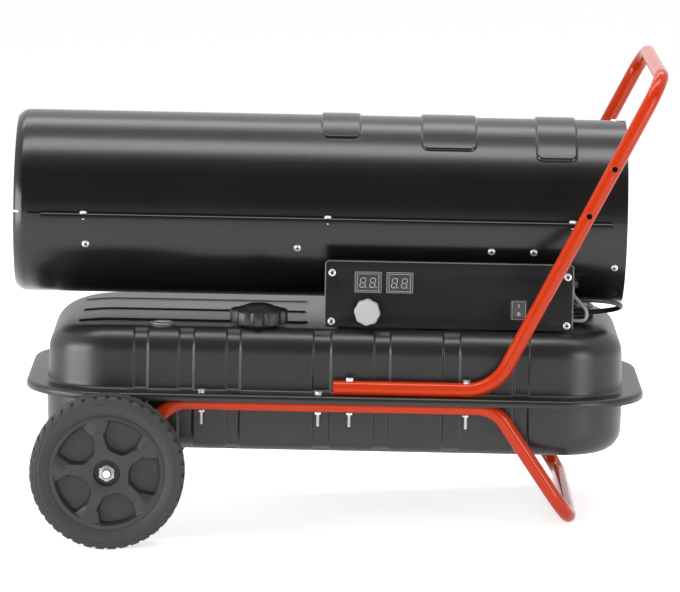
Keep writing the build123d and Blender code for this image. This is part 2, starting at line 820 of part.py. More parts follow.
def wall_outline(radius, inset, side):
    # section of the barrel wall in the seam plane: a long run with a necked lip at the outlet
    out, back = radius - inset, radius - inset - sheet
    start, bend = barrel_front, barrel_front + lip_length
    with BuildSketch(Plane.XY.offset(barrel_z), mode=Mode.PRIVATE) as section:
        with BuildLine():
            ThreePointArc((start, side * (out - lip_drop)),
                          (start + lip_length / 2, side * (out - lip_swell)), (bend, side * out))
            Line((bend, side * out), (barrel_rear, side * out))
            Line((barrel_rear, side * out), (barrel_rear, side * back))
            Line((barrel_rear, side * back), (bend, side * back))
            ThreePointArc((bend, side * back), (start + lip_length / 2, side * (back - lip_swell)),
                          (start, side * (back - lip_drop)))
            Line((start, side * (back - lip_drop)), (start, side * (out - lip_drop)))
        make_face()
    return section.sketch


def radial_hole(x, angle, radius):
    # cuts a round hole through the barrel wall at an angle round its axis
    y, z = radial(angle, barrel_radius)
    with Locations(Plane(origin=(x, y, z), z_dir=(0, *(v / barrel_radius for v in (y, z - barrel_z))))):
        Cylinder(radius, 8 * sheet, mode=Mode.SUBTRACT)


screw_hole = screw_radius + touch
seam_screw_y = barrel_radius + ledge / 2
lower_screw_places = [(x, a) for x in shell_screw_x
                      for a in (180 + shell_screw_angle, 360 - shell_screw_angle)]
rear_screw_places = [(barrel_rear - rear_screw_inset, a) for a in rear_screw_angles]

with BuildPart() as upper_half:
    add(wall_outline(barrel_radius, 0, 1))
    revolve(axis=barrel_axis, revolution_arc=180)
    with BuildSketch(along(seam_front)):
        for side in (-1, 1):
            with Locations((side * (barrel_bore + (ledge + sheet) / 2), barrel_z + sheet / 2)):
                Rectangle(ledge + sheet, sheet)
            with Locations((side * (barrel_radius + ledge - sheet / 2),
                            barrel_z + sheet - ledge_lip / 2)):
                Rectangle(sheet, ledge_lip)
    extrude(amount=seam_rear - seam_front)
    for x, length, half in pads:
        for out, back, trim, mode in ((pad_height, sheet / 2, 0, Mode.ADD),
                                      (pad_height - sheet, 2 * sheet, sheet, Mode.SUBTRACT)):
            turn = 90 - half + degrees(trim / barrel_radius)
            with BuildSketch(Plane.XY.offset(barrel_z).rotated((turn, 0, 0))):
                with Locations((x + length / 2, barrel_radius + (out - back) / 2)):
                    Rectangle(length - 2 * trim, out + back)
            revolve(axis=barrel_axis, revolution_arc=180 - 2 * turn, mode=mode)
    for x in seam_screw_x:
        for side in (-1, 1):
            with Locations((x, side * seam_screw_y, barrel_z)):
                Cylinder(screw_hole, 4 * sheet, mode=Mode.SUBTRACT)
    radial_hole(*rear_screw_places[0], screw_hole)
    split(bisect_by=Plane.XZ)
# both halves' faces, but for those of the cut, are sewn at the top line: none then runs all round a pad
near_faces = [face for face in upper_half.part.faces() if face.bounding_box().min.Y < -sheet]
far_faces = [face.mirror(Plane.XZ) for face in near_faces]
keep("upper_shell", Solid(Shell(near_faces + far_faces)))

with BuildPart() as lower_shell:
    add(wall_outline(barrel_radius, 0, -1))
    revolve(axis=barrel_axis, revolution_arc=180)
    with BuildSketch(along(seam_front)):
        for side in (-1, 1):
            with Locations((side * (barrel_bore + (ledge - touch) / 2), barrel_z - sheet / 2)):
                Rectangle(ledge - touch, sheet)
    extrude(amount=seam_rear - seam_front)
    for x in seam_screw_x:
        for side in (-1, 1):
            with Locations((x, side * seam_screw_y, barrel_z)):
                Cylinder(screw_hole, 4 * sheet, mode=Mode.SUBTRACT)
    for x, angle in lower_screw_places + rear_screw_places[1:]:
        radial_hole(x, angle, screw_hole)
    radial_hole(bulkhead_x, bulkhead_angle, elbow_radius)
    radial_hole(wire_x, bulkhead_angle, wire_hole)
keep("lower_shell", lower_shell.part)

with BuildPart() as barrel_screws:
    for x in seam_screw_x:
        for side in (-1, 1):
            with BuildSketch(Plane((x, side * seam_screw_y, barrel_z + sheet))):
                Circle(screw_head_radius)
            extrude(amount=screw_head_height)
            with BuildSketch(Plane((x, side * seam_screw_y, barrel_z + sheet))):
                Circle(screw_radius)
            extrude(amount=-screw_length)
    for x, angle in lower_screw_places + rear_screw_places:
        y, z = radial(angle, barrel_radius)
        outward = (0, cos(radians(angle)), sin(radians(angle)))
        with BuildSketch(Plane(origin=(x, y, z), z_dir=outward)):
            Circle(screw_head_radius)
        extrude(amount=screw_head_height)
        with BuildSketch(Plane(origin=(x, y, z), z_dir=outward)):
            Circle(screw_radius)
        extrude(amount=-screw_length)
keep("barrel_screws", barrel_screws.part)

saddle_end = barrel_z - saddle_open
with BuildPart() as barrel_saddles:
    for x in saddle_x:
        with BuildSketch(along(x - saddle_strap / 2)):
            with Locations((0, barrel_z)):
                Circle(barrel_radius + saddle_sheet)
                Circle(barrel_radius, mode=Mode.SUBTRACT)
            with Locations((0, saddle_end + 2 * barrel_radius)):
                Rectangle(4 * barrel_radius, 4 * barrel_radius, mode=Mode.SUBTRACT)
        extrude(amount=saddle_strap)
        with BuildSketch(along(x - saddle_sheet / 2)):
            with Locations((0, (saddle_end + tank_top) / 2)):
                Rectangle(2 * saddle_half_width, saddle_end - tank_top)
            with Locations((0, barrel_z)):
                Circle(barrel_radius, mode=Mode.SUBTRACT)
        extrude(amount=saddle_sheet)
        with Locations((x, 0, tank_top + saddle_sheet / 2)):
            Box(saddle_strap, 2 * saddle_half_width, saddle_sheet)
keep("barrel_saddles", barrel_saddles.part)

# ---- burner and combustion chamber --------------------------------------------------------------
with BuildPart() as combustion_chamber:
    with BuildSketch(Plane.XY.offset(barrel_z)):
        with BuildLine():
            cone_end = chamber_front + chamber_cone
            Polyline((chamber_front, chamber_mouth), (cone_end, chamber_radius),
                     (chamber_rear, chamber_radius), (chamber_rear, burner_port),
                     (chamber_rear - sheet, burner_port), (chamber_rear - sheet, chamber_inner),
                     (cone_end, chamber_inner), (chamber_front, chamber_mouth - sheet), close=True)
        make_face()
    revolve(axis=barrel_axis)
keep("combustion_chamber", combustion_chamber.part)

with BuildPart() as chamber_brackets:
    for x in bracket_x:
        for angle in bracket_angles:
            y, z = radial(angle, chamber_radius)
            with BuildSketch(Plane(origin=(x, y, z), x_dir=(1, 0, 0),
                                   z_dir=(0, cos(radians(angle)), sin(radians(angle))))):
                Rectangle(bracket_length, saddle_sheet)
            extrude(amount=sqrt(barrel_bore ** 2 - (saddle_sheet / 2) ** 2) - chamber_radius)
keep("chamber_brackets", chamber_brackets.part)

disc_x = chamber_front + disc_inset
with BuildPart() as flame_disc:
    with BuildSketch(along(disc_x)):
        with Locations((0, barrel_z)):
            Circle(disc_radius)
    extrude(amount=sheet)
    mouth_here = chamber_mouth - sheet + (chamber_radius - chamber_mouth) * disc_inset / chamber_cone
    for angle in bracket_angles:
        y, z = radial(angle, disc_radius - saddle_sheet)
        with BuildSketch(Plane(origin=(disc_x + sheet / 2, y, z), x_dir=(1, 0, 0),
                               z_dir=(0, cos(radians(angle)), sin(radians(angle))))):
            Rectangle(sheet, disc_arm)
        extrude(amount=sqrt(mouth_here ** 2 - (disc_arm / 2) ** 2) - disc_radius + saddle_sheet)
keep("flame_disc", flame_disc.part)

burner_rear = chamber_rear + burner_length
with BuildPart() as burner_head:
    with BuildSketch(Plane.XY.offset(barrel_z)):
        with BuildLine():
            inner = burner_radius - sheet
            rim = burner_radius + burner_rim
            Polyline((chamber_rear, rim), (chamber_rear + sheet, rim),
                     (chamber_rear + sheet, burner_radius), (burner_rear, burner_radius),
                     (burner_rear, nozzle_radius), (burner_rear - sheet, nozzle_radius),
                     (burner_rear - sheet, inner), (chamber_rear, inner), close=True)
        make_face()
    revolve(axis=barrel_axis)
    for angle in electrode_angles:
        y, z = radial(angle, electrode_spread)
        with Locations(Plane(origin=(burner_rear, y, z), z_dir=(1, 0, 0))):
            Cylinder(electrode_radius + touch, 4 * sheet, mode=Mode.SUBTRACT)
    y, z = radial(sensor_angle, burner_radius)
    with Locations(Plane(origin=(sensor_x, y, z), z_dir=(0, y, z - barrel_z))):
        Cylinder(sensor_radius - sheet, 6 * sheet, mode=Mode.SUBTRACT)
keep("burner_head", burner_head.part)

with BuildPart() as fuel_nozzle:
    with BuildSketch(along(burner_rear + touch + 2 * sheet)):
        with Locations((0, barrel_z)):
            Circle(nozzle_radius)
    extrude(amount=-nozzle_length)
    with Locations(Plane(origin=(burner_rear + touch + 2 * sheet - nozzle_length, 0, barrel_z),
                         z_dir=(-1, 0, 0))):
        Cone(nozzle_radius, nozzle_radius / 3, nozzle_radius, align=(Align.CENTER, Align.CENTER, Align.MIN))
keep("fuel_nozzle", fuel_nozzle.part)

with BuildPart() as spark_electrodes:
    for angle in electrode_angles:
        y, z = radial(angle, electrode_spread)
        with BuildSketch(Plane(origin=(chamber_rear + electrode_start, y, z), z_dir=(1, 0, 0))):
            Circle(electrode_radius)
        extrude(amount=burner_length)
        with BuildSketch(Plane(origin=(chamber_rear + electrode_start, y, z), z_dir=(-1, 0, 0))):
            Circle(electrode_radius / 3)
        extrude(amount=electrode_start)
keep("spark_electrodes", spark_electrodes.part)

with BuildPart() as flame_sensor:
    y, z = radial(sensor_angle, burner_radius)
    with BuildSketch(Plane(origin=(sensor_x, y, z), z_dir=(0, y, z - barrel_z))):
        Circle(sensor_radius)
    extrude(amount=sensor_length)
keep("flame_sensor", flame_sensor.part)

# ---- fan, motor and air pump --------------------------------------------------------------------
tip = sqrt(fan_radius ** 2 - (blade_chord / 2 * cos(radians(blade_angle))) ** 2)
fan_middle = fan_x + fan_depth / 2
with BuildPart() as fan:
    with BuildSketch(along(fan_x)):
        with Locations((0, barrel_z)):
            Circle(fan_hub_radius)
    extrude(amount=fan_depth)
    for number in range(blade_count):
        angle = 360 / blade_count * number
        y, z = radial(angle, fan_hub_radius - blade_thickness)
        chord_way = Vector(sin(radians(blade_angle)), -sin(radians(angle)) * cos(radians(blade_angle)),
                           cos(radians(angle)) * cos(radians(blade_angle)))
        with BuildSketch(Plane(origin=(fan_middle, y, z), x_dir=chord_way,
                               z_dir=(0, cos(radians(angle)), sin(radians(angle))))):
            Rectangle(blade_chord, blade_thickness)
        extrude(amount=tip - fan_hub_radius + blade_thickness)
    with BuildSketch(along(fan_x)):
        with Locations((0, barrel_z)):
            Circle(shaft_radius)
    extrude(amount=fan_depth, mode=Mode.SUBTRACT)
keep("fan", fan.part)

rotor_front = motor_rear + pump_wall + rotor_play
with BuildPart() as motor_shaft:
    with BuildSketch(along(fan_x)):
        with Locations((0, barrel_z)):
            Circle(shaft_radius)
    extrude(amount=rotor_front + rotor_length - fan_x)
    with BuildSketch(along(rotor_front)):
        with Locations((0, barrel_z)):
            Circle(rotor_radius)
    extrude(amount=rotor_length)
keep("motor_shaft", motor_shaft.part)

with BuildPart() as motor_housing:
    with BuildSketch(along(motor_front)):
        with Locations((0, barrel_z)):
            Circle(motor_radius)
    extrude(amount=motor_length)
    fillet(motor_housing.edges(), motor_edge)
    with Locations(Plane(origin=(motor_front + motor_length / 2, 0, barrel_z), z_dir=(1, 0, 0))):
        with PolarLocations(motor_radius, motor_ribs):
            Box(2 * rib_depth, rib_gap, motor_length - 4 * motor_edge, mode=Mode.SUBTRACT)
        Cylinder(shaft_radius + run_fit, 2 * motor_length, mode=Mode.SUBTRACT)
keep("motor_housing", motor_housing.part)

with BuildPart() as motor_bracket:
    for x in (motor_front + 2 * motor_edge, motor_rear - 2 * motor_edge - saddle_sheet):
        with BuildSketch(along(x)):
            with Locations((0, barrel_z - barrel_radius / 2)):
                Rectangle(2 * motor_foot, barrel_radius)
            with Locations((0, barrel_z)):
                Circle(barrel_bore, mode=Mode.INTERSECT)
                Circle(motor_radius, mode=Mode.SUBTRACT)
        extrude(amount=saddle_sheet)
    with BuildSketch(along(motor_front + 2 * motor_edge)):
        with Locations((0, barrel_z - barrel_radius / 2)):
            Rectangle(2 * motor_foot, barrel_radius)
        with Locations((0, barrel_z)):
            Circle(barrel_bore, mode=Mode.INTERSECT)
            Circle(barrel_bore - saddle_sheet, mode=Mode.SUBTRACT)
    extrude(amount=motor_length - 4 * motor_edge)
keep("motor_bracket", motor_bracket.part)

with BuildPart() as air_pump:
    with BuildSketch(along(motor_rear)):
        with Locations((0, barrel_z)):
            Circle(pump_radius)
    extrude(amount=pump_length)
    with BuildSketch(along(motor_rear + pump_wall)):
        with Locations((0, barrel_z)):
            Circle(rotor_radius + rotor_play)
    extrude(amount=pump_length, mode=Mode.SUBTRACT)
    with BuildSketch(along(motor_rear)):
        with Locations((0, barrel_z)):
            Circle(shaft_radius + run_fit)
    extrude(amount=pump_length, mode=Mode.SUBTRACT)
keep("air_pump", air_pump.part)

with BuildPart() as pump_filter_cover:
    with BuildSketch(along(pump_rear)):
        with Locations((0, barrel_z)):
            Circle(pump_radius)
    extrude(amount=cover_length)
    fillet(pump_filter_cover.faces().sort_by(Axis.X)[-1].edges(), motor_edge)
    with BuildSketch(along(pump_rear + pump_wall)):
        with Locations((0, barrel_z)):
            Circle(pump_radius - pump_wall)
    extrude(amount=cover_length - 2 * pump_wall, mode=Mode.SUBTRACT)
    with Locations(Plane(origin=(pump_rear + cover_length / 2, 0, barrel_z), z_dir=(1, 0, 0))):
        with PolarLocations(pump_radius, motor_ribs):
            Box(4 * pump_wall, rib_gap, cover_length / 2, mode=Mode.SUBTRACT)
keep("pump_filter_cover", pump_filter_cover.part)

guard_band = barrel_bore - touch
guard_x = barrel_rear - guard_wire - guard_set_in
with BuildPart() as intake_guard:
    with BuildSketch(along(guard_x - guard_depth)):
        with Locations((0, barrel_z)):
            Circle(guard_band)
            Circle(guard_band - sheet, mode=Mode.SUBTRACT)
    extrude(amount=guard_depth)
    for angle in rear_screw_angles:
        y, z = radial(angle, guard_band)
        with Locations(Plane(origin=(barrel_rear - rear_screw_inset, y, z), z_dir=(0, y, z - barrel_z))):
            Cylinder(screw_radius + touch, 4 * sheet, mode=Mode.SUBTRACT)
    for number in range(guard_spokes):
        angle = 360 / guard_spokes * (number + 0.5)
        ends = [(guard_x - spoke_behind, *radial(angle, r)) for r in (spoke_start, guard_band - sheet / 2)]
        add(bar(ends[0], ends[1], guard_spoke))
    for ring in guard_rings:
        with BuildSketch(Plane.XY.offset(barrel_z)):
            with Locations((guard_x, ring)):
                Circle(guard_wire)
        revolve(axis=barrel_axis)
keep("intake_guard", intake_guard.part)

# ---- control box --------------------------------------------------------------------------------
panel_top = panel_bottom + panel_height
with BuildPart() as control_box:
    with BuildSketch(along(box_front)):
        with Locations(((panel_back + box_back) / 2, (panel_bottom + panel_top - panel_sheet) / 2)):
            Rectangle(box_back - panel_back, panel_height - panel_sheet)
        with Locations((0, barrel_z)):
            Circle(barrel_radius + touch, mode=Mode.SUBTRACT)
    extrude(amount=box_rear - box_front)
    with BuildSketch(along(box_front + sheet)):
        with Locations(((panel_back + box_back) / 2 - sheet, (panel_bottom + panel_top) / 2 + sheet)):
            Rectangle(box_back - panel_back, panel_height)
    extrude(amount=box_rear - box_front - 2 * sheet, mode=Mode.SUBTRACT)
    for x in box_foot_x:
        with Locations((x, panel_back + box_foot, (tank_top + panel_bottom) / 2)):
            Box(box_foot, box_foot, panel_bottom - tank_top)
    with Locations(Plane(origin=(box_rear, relief_y, relief_z), z_dir=(1, 0, 0))):
        Cylinder(cord_radius + sheet, 4 * sheet, mode=Mode.SUBTRACT)
keep("control_box", control_box.part)

switch_hole = (switch_width - 2 * switch_rim, switch_height - 2 * switch_rim)
display_body = (display_width - 2 * display_wall, display_height - 2 * display_wall)
with BuildPart() as control_panel:
    with BuildSketch(facing(panel_y)):
        with Locations((panel_front + panel_length / 2, panel_bottom + panel_height / 2)):
            RectangleRounded(panel_length, panel_height, panel_corner)
        for x in display_x:
            with Locations((x, display_z)):
                Rectangle(*display_body, mode=Mode.SUBTRACT)
        with Locations((knob_x, knob_z)):
            Circle(bushing_radius, mode=Mode.SUBTRACT)
        with Locations((rocker_x, rocker_z)):
            Rectangle(*switch_hole, mode=Mode.SUBTRACT)
        for x in panel_screw_x:
            for z in panel_screw_z:
                with Locations((x, z)):
                    Circle(screw_radius, mode=Mode.SUBTRACT)
    extrude(amount=-panel_sheet)
    with BuildSketch(along(panel_front + panel_corner)):
        reach = sqrt((barrel_radius + touch) ** 2 - (barrel_z - panel_top) ** 2)
        with Locations(((panel_y - reach) / 2, panel_top - panel_sheet / 2)):
            Rectangle(-panel_y - reach, panel_sheet)
        with Locations((0, barrel_z)):
            Circle(barrel_radius + touch, mode=Mode.SUBTRACT)
    extrude(amount=panel_length - 2 * panel_corner)
keep("control_panel", control_panel.part)

with BuildPart() as panel_screws:
    for x in panel_screw_x:
        for z in panel_screw_z:
            with BuildSketch(Plane(origin=(x, panel_y, z), z_dir=(0, -1, 0))):
                Circle(screw_head_radius + touch)
            extrude(amount=screw_head_height)
            with BuildSketch(Plane(origin=(x, panel_y, z), z_dir=(0, 1, 0))):
                Circle(screw_radius)
            extrude(amount=screw_length)
keep("panel_screws", panel_screws.part)

for name, x in zip(("left", "right"), display_x):
    with BuildPart() as display:
        with BuildSketch(facing(panel_y)):
            with Locations((x, display_z)):
                Rectangle(display_width, display_height)
        extrude(amount=display_proud)
        with BuildSketch(facing(panel_y)):
            with Locations((x, display_z)):
                Rectangle(*display_body)
        extrude(amount=-display_depth)
        with BuildSketch(facing(panel_y - display_proud)):
            with Locations((x, display_z)):
                Rectangle(*display_body)
        extrude(amount=-display_proud / 2, mode=Mode.SUBTRACT)
    keep("display_" + name, display.part)

with BuildPart() as circuit_board:
    with BuildSketch(facing(panel_y + display_depth)):
        with Locations(((display_x[0] + display_x[1]) / 2, board_z)):
            Rectangle(board_length, board_height)
        with Locations((knob_x, knob_z)):
            Circle(pot_radius + 2 * touch, mode=Mode.SUBTRACT)
    extrude(amount=-board_thickness)
keep("circuit_board", circuit_board.part)

with BuildPart() as ignition_transformer:
    with Locations((transformer_x, (panel_back + box_back) / 2 + sheet, panel_bottom + sheet)):
        Box(*transformer_size, align=(Align.CENTER, Align.CENTER, Align.MIN))
    fillet(ignition_transformer.edges(), saddle_sheet)
keep("ignition_transformer", ignition_transformer.part)

# thermostat: the knob turns its spindle in the bushing of the base behind the panel
with BuildPart() as thermostat_base:
    with BuildSketch(facing(panel_back)):
        with Locations((knob_x, knob_z)):
            Circle(pot_radius)
    extrude(amount=-pot_length)
    with BuildSketch(facing(panel_back)):
        with Locations((knob_x, knob_z)):
            Circle(bushing_radius)
    extrude(amount=panel_sheet + bushing_proud)
    with BuildSketch(facing(panel_y - 2 * bushing_proud)):
        with Locations((knob_x, knob_z)):
            Circle(spindle_radius + run_fit)
    extrude(amount=-(2 * bushing_proud + panel_sheet + pot_length / 2), mode=Mode.SUBTRACT)
keep("thermostat_base", thermostat_base.part)

spindle_start = panel_back + pot_length / 2 - touch
with BuildPart() as thermostat_spindle:
    with BuildSketch(facing(spindle_start)):
        with Locations((knob_x, knob_z)):
            Circle(spindle_radius)
    extrude(amount=spindle_start - panel_y + spindle_length)
keep("thermostat_spindle", thermostat_spindle.part)

with BuildPart() as thermostat_knob:
    with BuildSketch(facing(panel_y - knob_gap)):
        with Locations((knob_x, knob_z)):
            Circle(knob_radius - knob_lobe)
            with PolarLocations(knob_radius - 2 * knob_lobe, knob_lobes, start_angle=90):
                Circle(2 * knob_lobe)
    extrude(amount=knob_height)
    fillet(thermostat_knob.faces().sort_by(Axis.Y)[0].edges(), knob_edge)
    with BuildSketch(facing(panel_y - knob_gap)):
        with Locations((knob_x, knob_z)):
            Circle(bushing_radius + 2 * touch)
    extrude(amount=bushing_proud + touch, mode=Mode.SUBTRACT)
    with BuildSketch(facing(panel_y)):
        with Locations((knob_x, knob_z)):
            Circle(spindle_radius)
    extrude(amount=spindle_length, mode=Mode.SUBTRACT)
keep("thermostat_knob", thermostat_knob.part)

# rocker switch: the rocker tips on its two stub pins inside the frame
pivot_y = panel_y + switch_proud / 2
with BuildPart() as switch_frame:
    with BuildSketch(facing(panel_y)):
        with Locations((rocker_x, rocker_z)):
            Rectangle(switch_width, switch_height)
    extrude(amount=switch_proud)
    chamfer(switch_frame.faces().sort_by(Axis.Y)[0].edges(), switch_proud / 4)
    with BuildSketch(facing(panel_y)):
        with Locations((rocker_x, rocker_z)):
            Rectangle(*switch_hole)
    extrude(amount=-switch_depth)
    with BuildSketch(facing(panel_y - switch_proud)):
        with Locations((rocker_x, rocker_z)):
            Rectangle(rocker_width + 2 * touch, switch_height - 4 * switch_rim)
    extrude(amount=-(switch_proud + switch_depth - switch_rim), mode=Mode.SUBTRACT)
    with Locations(Plane(origin=(rocker_x, pivot_y, rocker_z), z_dir=(1, 0, 0))):
        Cylinder(pivot_radius + run_fit, rocker_width + 2 * pivot_length + touch, mode=Mode.SUBTRACT)
keep("switch_frame", switch_frame.part)

with BuildPart() as rocker:
    with BuildSketch(Plane(origin=(rocker_x - rocker_width / 2, pivot_y, rocker_z), x_dir=(0, -1, 0),
                           z_dir=(1, 0, 0))):
        with BuildLine():
            half = rocker_height / 2
            Polyline((rocker_rise, half), (rocker_dip, 0), (rocker_rise, -half), (-rocker_back, -half),
                     (-rocker_belly, 0), (-rocker_back, half), close=True)
        make_face()
    extrude(amount=rocker_width)
    with Locations(Plane(origin=(rocker_x, pivot_y, rocker_z), z_dir=(1, 0, 0))):
        Cylinder(pivot_radius, rocker_width + 2 * pivot_length)
pivot_axis = Axis((rocker_x, pivot_y, rocker_z), (1, 0, 0))
keep("rocker", rocker.part.rotate(pivot_axis, -rocker_tilt))

# ---- fuel line ----------------------------------------------------------------------------------
way_in = Vector(0, -cos(radians(bulkhead_angle)), -sin(radians(bulkhead_angle)))
bulkhead_face = barrel_radius + bulkhead_nut / 2 + elbow_radius / 2
bulkhead_mouth = Vector(bulkhead_x, *radial(bulkhead_angle, bulkhead_face))
elbow_mouth = Vector(line_x + elbow_radius + sheet, line_y, tank_top + elbow_height)
hose_out = elbow_mouth + Vector(hose_reach, 0, 0)
hose_up = hose_out + Vector(0, 0, hose_rise)
hose_in = bulkhead_mouth - way_in * hose_end
with BuildLine() as hose:
    FilletPolyline(elbow_mouth, hose_out, hose_up, hose_in, bulkhead_mouth, radius=hose_bends)
keep("fuel_line", tube(hose.line, line_radius, line_radius - line_bore))

with BuildPart() as fuel_fittings:
    with BuildSketch(Plane((line_x, line_y, tank_top))):
        RegularPolygon(elbow_radius + sheet, 6, major_radius=False)
    extrude(amount=elbow_height / 2)
    with BuildSketch(Plane((line_x, line_y, tank_top))):
        Circle(elbow_radius)
    extrude(amount=elbow_height + elbow_radius)
    add(bar((line_x, line_y, elbow_mouth.Z), tuple(elbow_mouth), line_radius + sheet / 2))
    with BuildSketch(Plane((line_x, line_y, tank_top - suction_length))):
        Circle(line_bore - touch / 2)
    extrude(amount=suction_length)
    inner_end = Vector(bulkhead_x, *radial(bulkhead_angle, bulkhead_inner))
    add(bar(tuple(bulkhead_mouth), tuple(inner_end), elbow_radius - touch))
    nut_seat = Vector(bulkhead_x, *radial(bulkhead_angle, barrel_radius + touch))
    with BuildSketch(Plane(origin=nut_seat, z_dir=-way_in)):
        RegularPolygon(bulkhead_nut, 6, major_radius=False)
    extrude(amount=bulkhead_nut / 2)
    with Locations((line_x, line_y, tank_top - suction_length)):
        Cylinder(filter_radius, filter_length, align=(Align.CENTER, Align.CENTER, Align.MAX))
keep("fuel_fittings", fuel_fittings.part)

# the rigid pipe from the bulkhead passes outside the fan and turns in to the nozzle
pipe_plane = Plane(origin=(0, 0, barrel_z), x_dir=(1, 0, 0), z_dir=(0, way_in.Z, -way_in.Y))
nozzle_back = burner_rear + touch + 2 * sheet
with BuildLine() as pipe_route:
    lane = (fan_radius + barrel_bore) / 2 + line_bore
    points = [(bulkhead_x, bulkhead_inner), (bulkhead_x, pipe_turn), (motor_front, lane),
              (fan_x - fan_depth, lane), (nozzle_back + 2 * nozzle_radius, lane / 2),
              (nozzle_back + 2 * nozzle_radius, 0), (nozzle_back, 0)]
    flat = FilletPolyline(*points, radius=pipe_bends, mode=Mode.PRIVATE)
    add(pipe_plane.from_local_coords(flat))
keep("burner_pipe", tube(pipe_route.line, line_radius - touch, 0))

# ---- mains lead ---------------------------------------------------------------------------------
coil_pitch = 2 * cord_radius + cord_gap
low_z = tank_top + cord_radius
high_z = low_z + coil_pitch

with BuildPart() as strain_relief:
    with Locations(Plane(origin=(box_rear, relief_y, relief_z), z_dir=(1, 0, 0))):
        Cylinder(2 * cord_radius + sheet, 2 * sheet, align=(Align.CENTER, Align.CENTER, Align.MIN))
        Cone(2 * cord_radius, cord_radius + sheet, relief_length,
             align=(Align.CENTER, Align.CENTER, Align.MIN))
    with Locations(Plane(origin=(box_rear, relief_y, relief_z), z_dir=(-1, 0, 0))):
        Cylinder(cord_radius + sheet, 4 * sheet, align=(Align.CENTER, Align.CENTER, Align.MIN))
keep("strain_relief", strain_relief.part)


def cord_tube(corners, name):
    # free stretch of the lead: straight runs joined by arcs as large as the runs allow
    runs = [b - a for a, b in zip(corners, corners[1:])]
    radii = [bend_share * min(one.length, two.length) / tan(radians(one.get_angle(two)) / 2)
             for one, two in zip(runs, runs[1:])]
    with BuildLine() as route:
        FilletPolyline(*corners, radius=radii)
    solid = tube(route.wire(), cord_radius, 0)
    length = route.wire().length
    print(name, "radii", [round(r, 1) for r in radii], "length", round(length, 1),
          "volume ratio", round(solid.volume / (length * pi * cord_radius ** 2), 4))
    keep(name, solid, cord=True)
    return length


def coil_line():
    # half turns wound in over the tank, one tilted half turn down, and half turns wound out again
    step = coil_pitch / 2
    count = coil_half_turns
    radii = [coil_radius - step * k for k in range(count + 1)]
    radii += [coil_radius - step * k for k in range(count - 1, 0, -1)]
    arcs = []
    y, z = coil_y - coil_radius, high_z
    for number, radius in enumerate(radii):
        way = 1 if number % 2 == 0 else -1
        drop = coil_pitch if number == count else 0
        reach = hypot(2 * radius, drop) / 2
        start, end = (coil_x, y, z), (coil_x, y + way * 2 * radius, z - drop)
        middle = (coil_x - way * reach, y + way * radius, z - drop / 2)
        arcs.append((start, middle, end))
        y, z = end[1], end[2]
    way = 1 if len(radii) % 2 == 0 else -1
    corner = (coil_x - way * coil_radius, y + way * coil_radius, z)
    middle = (coil_x - way * coil_radius * sin(pi / 4), y + way * coil_radius * (1 - cos(pi / 4)), z)
    arcs.append(((coil_x, y, z), middle, corner))
    return arcs


def least_gap(line, skip):
    # least distance of the tube to itself, measured on points further apart along it than skip
    count = int(line.length / 2)
    places = [line @ (k / count) for k in range(count + 1)]
    apart = int(skip / 2)
    nearest = min((a - b).length for i, a in enumerate(places) for b in places[i + apart:])
    return nearest - 2 * cord_radius


with BuildLine() as coil:
    for start, middle, end in coil_line():
        ThreePointArc(start, middle, end)
coil_wire = coil.wire()
keep("mains_coil", tube(coil_wire, cord_radius, 0), cord=True)
coil_start, coil_end = coil_wire @ 0, coil_wire @ 1

relief_end = Vector(box_rear + relief_length, relief_y, relief_z)
lead_points = [relief_end] + [relief_end + Vector(*turn) for turn in lead_from_box]
lead_points += [coil_start + Vector(*turn) for turn in lead_to_coil] + [coil_start]
lead_length = cord_tube(lead_points, "mains_lead")
plug_z = tank_top + plug_radius
plug_x, plug_y = coil_end.X + plug_from_coil[0], coil_end.Y + plug_from_coil[1]
tail_points = [coil_end] + [coil_end + Vector(*turn) for turn in tail_from_coil]
tail_points += [Vector(plug_x + plug_run, plug_y, plug_z), Vector(plug_x, plug_y, plug_z)]
tail_length = cord_tube(tail_points, "mains_tail")
print("coil length", round(coil_wire.length, 1), "least gap", round(least_gap(coil_wire, 60), 2),
      "whole lead", round(coil_wire.length + lead_length + tail_length, 1))

with BuildPart() as mains_plug:
    with Locations(Plane(origin=(plug_x, plug_y, plug_z), z_dir=(-1, 0, 0))):
        Cone(cord_radius + sheet, 2 * cord_radius, plug_neck, align=(Align.CENTER, Align.CENTER, Align.MIN))
    with BuildSketch(Plane(origin=(plug_x - plug_neck, plug_y, plug_z), z_dir=(-1, 0, 0))):
        Circle(plug_radius)
    extrude(amount=plug_length)
    fillet(mains_plug.edges().filter_by(GeomType.CIRCLE).sort_by(SortBy.RADIUS)[-2:], motor_edge)
    for end in (-1, 1):
        pin_root = (plug_x - plug_neck - plug_length, plug_y + end * pin_spacing / 2, plug_z)
        with BuildSketch(Plane(origin=pin_root, z_dir=(-1, 0, 0))):
            Circle(pin_radius)
        extrude(amount=pin_length)
keep("mains_plug", mains_plug.part, cord=True)

# ---- the machine leans back until it stands on its wheels and its foot ---------------------------
leaned = Rotation(0, lean, 0)
reach = [(leaned * solid).bounding_box() for name, solid in pieces.items() if name not in cord_names]
middle_x = (min(box.min.X for box in reach) + max(box.max.X for box in reach)) / 2
stance = Location((-middle_x, 0, wheel_radius)) * leaned
print("lean", round(lean, 3), "middle", round(middle_x, 2), "pieces", len(pieces))

os.makedirs("parts", exist_ok=True)
for name, solid in pieces.items():
    standing = stance * solid
    standing.label = name
    export_step(standing, f"parts/{name}.step")
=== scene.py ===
import json
from math import ceil, cos, hypot, pi, radians, sin, sqrt, tan

import bmesh
import bpy
from mathutils import Matrix, Vector

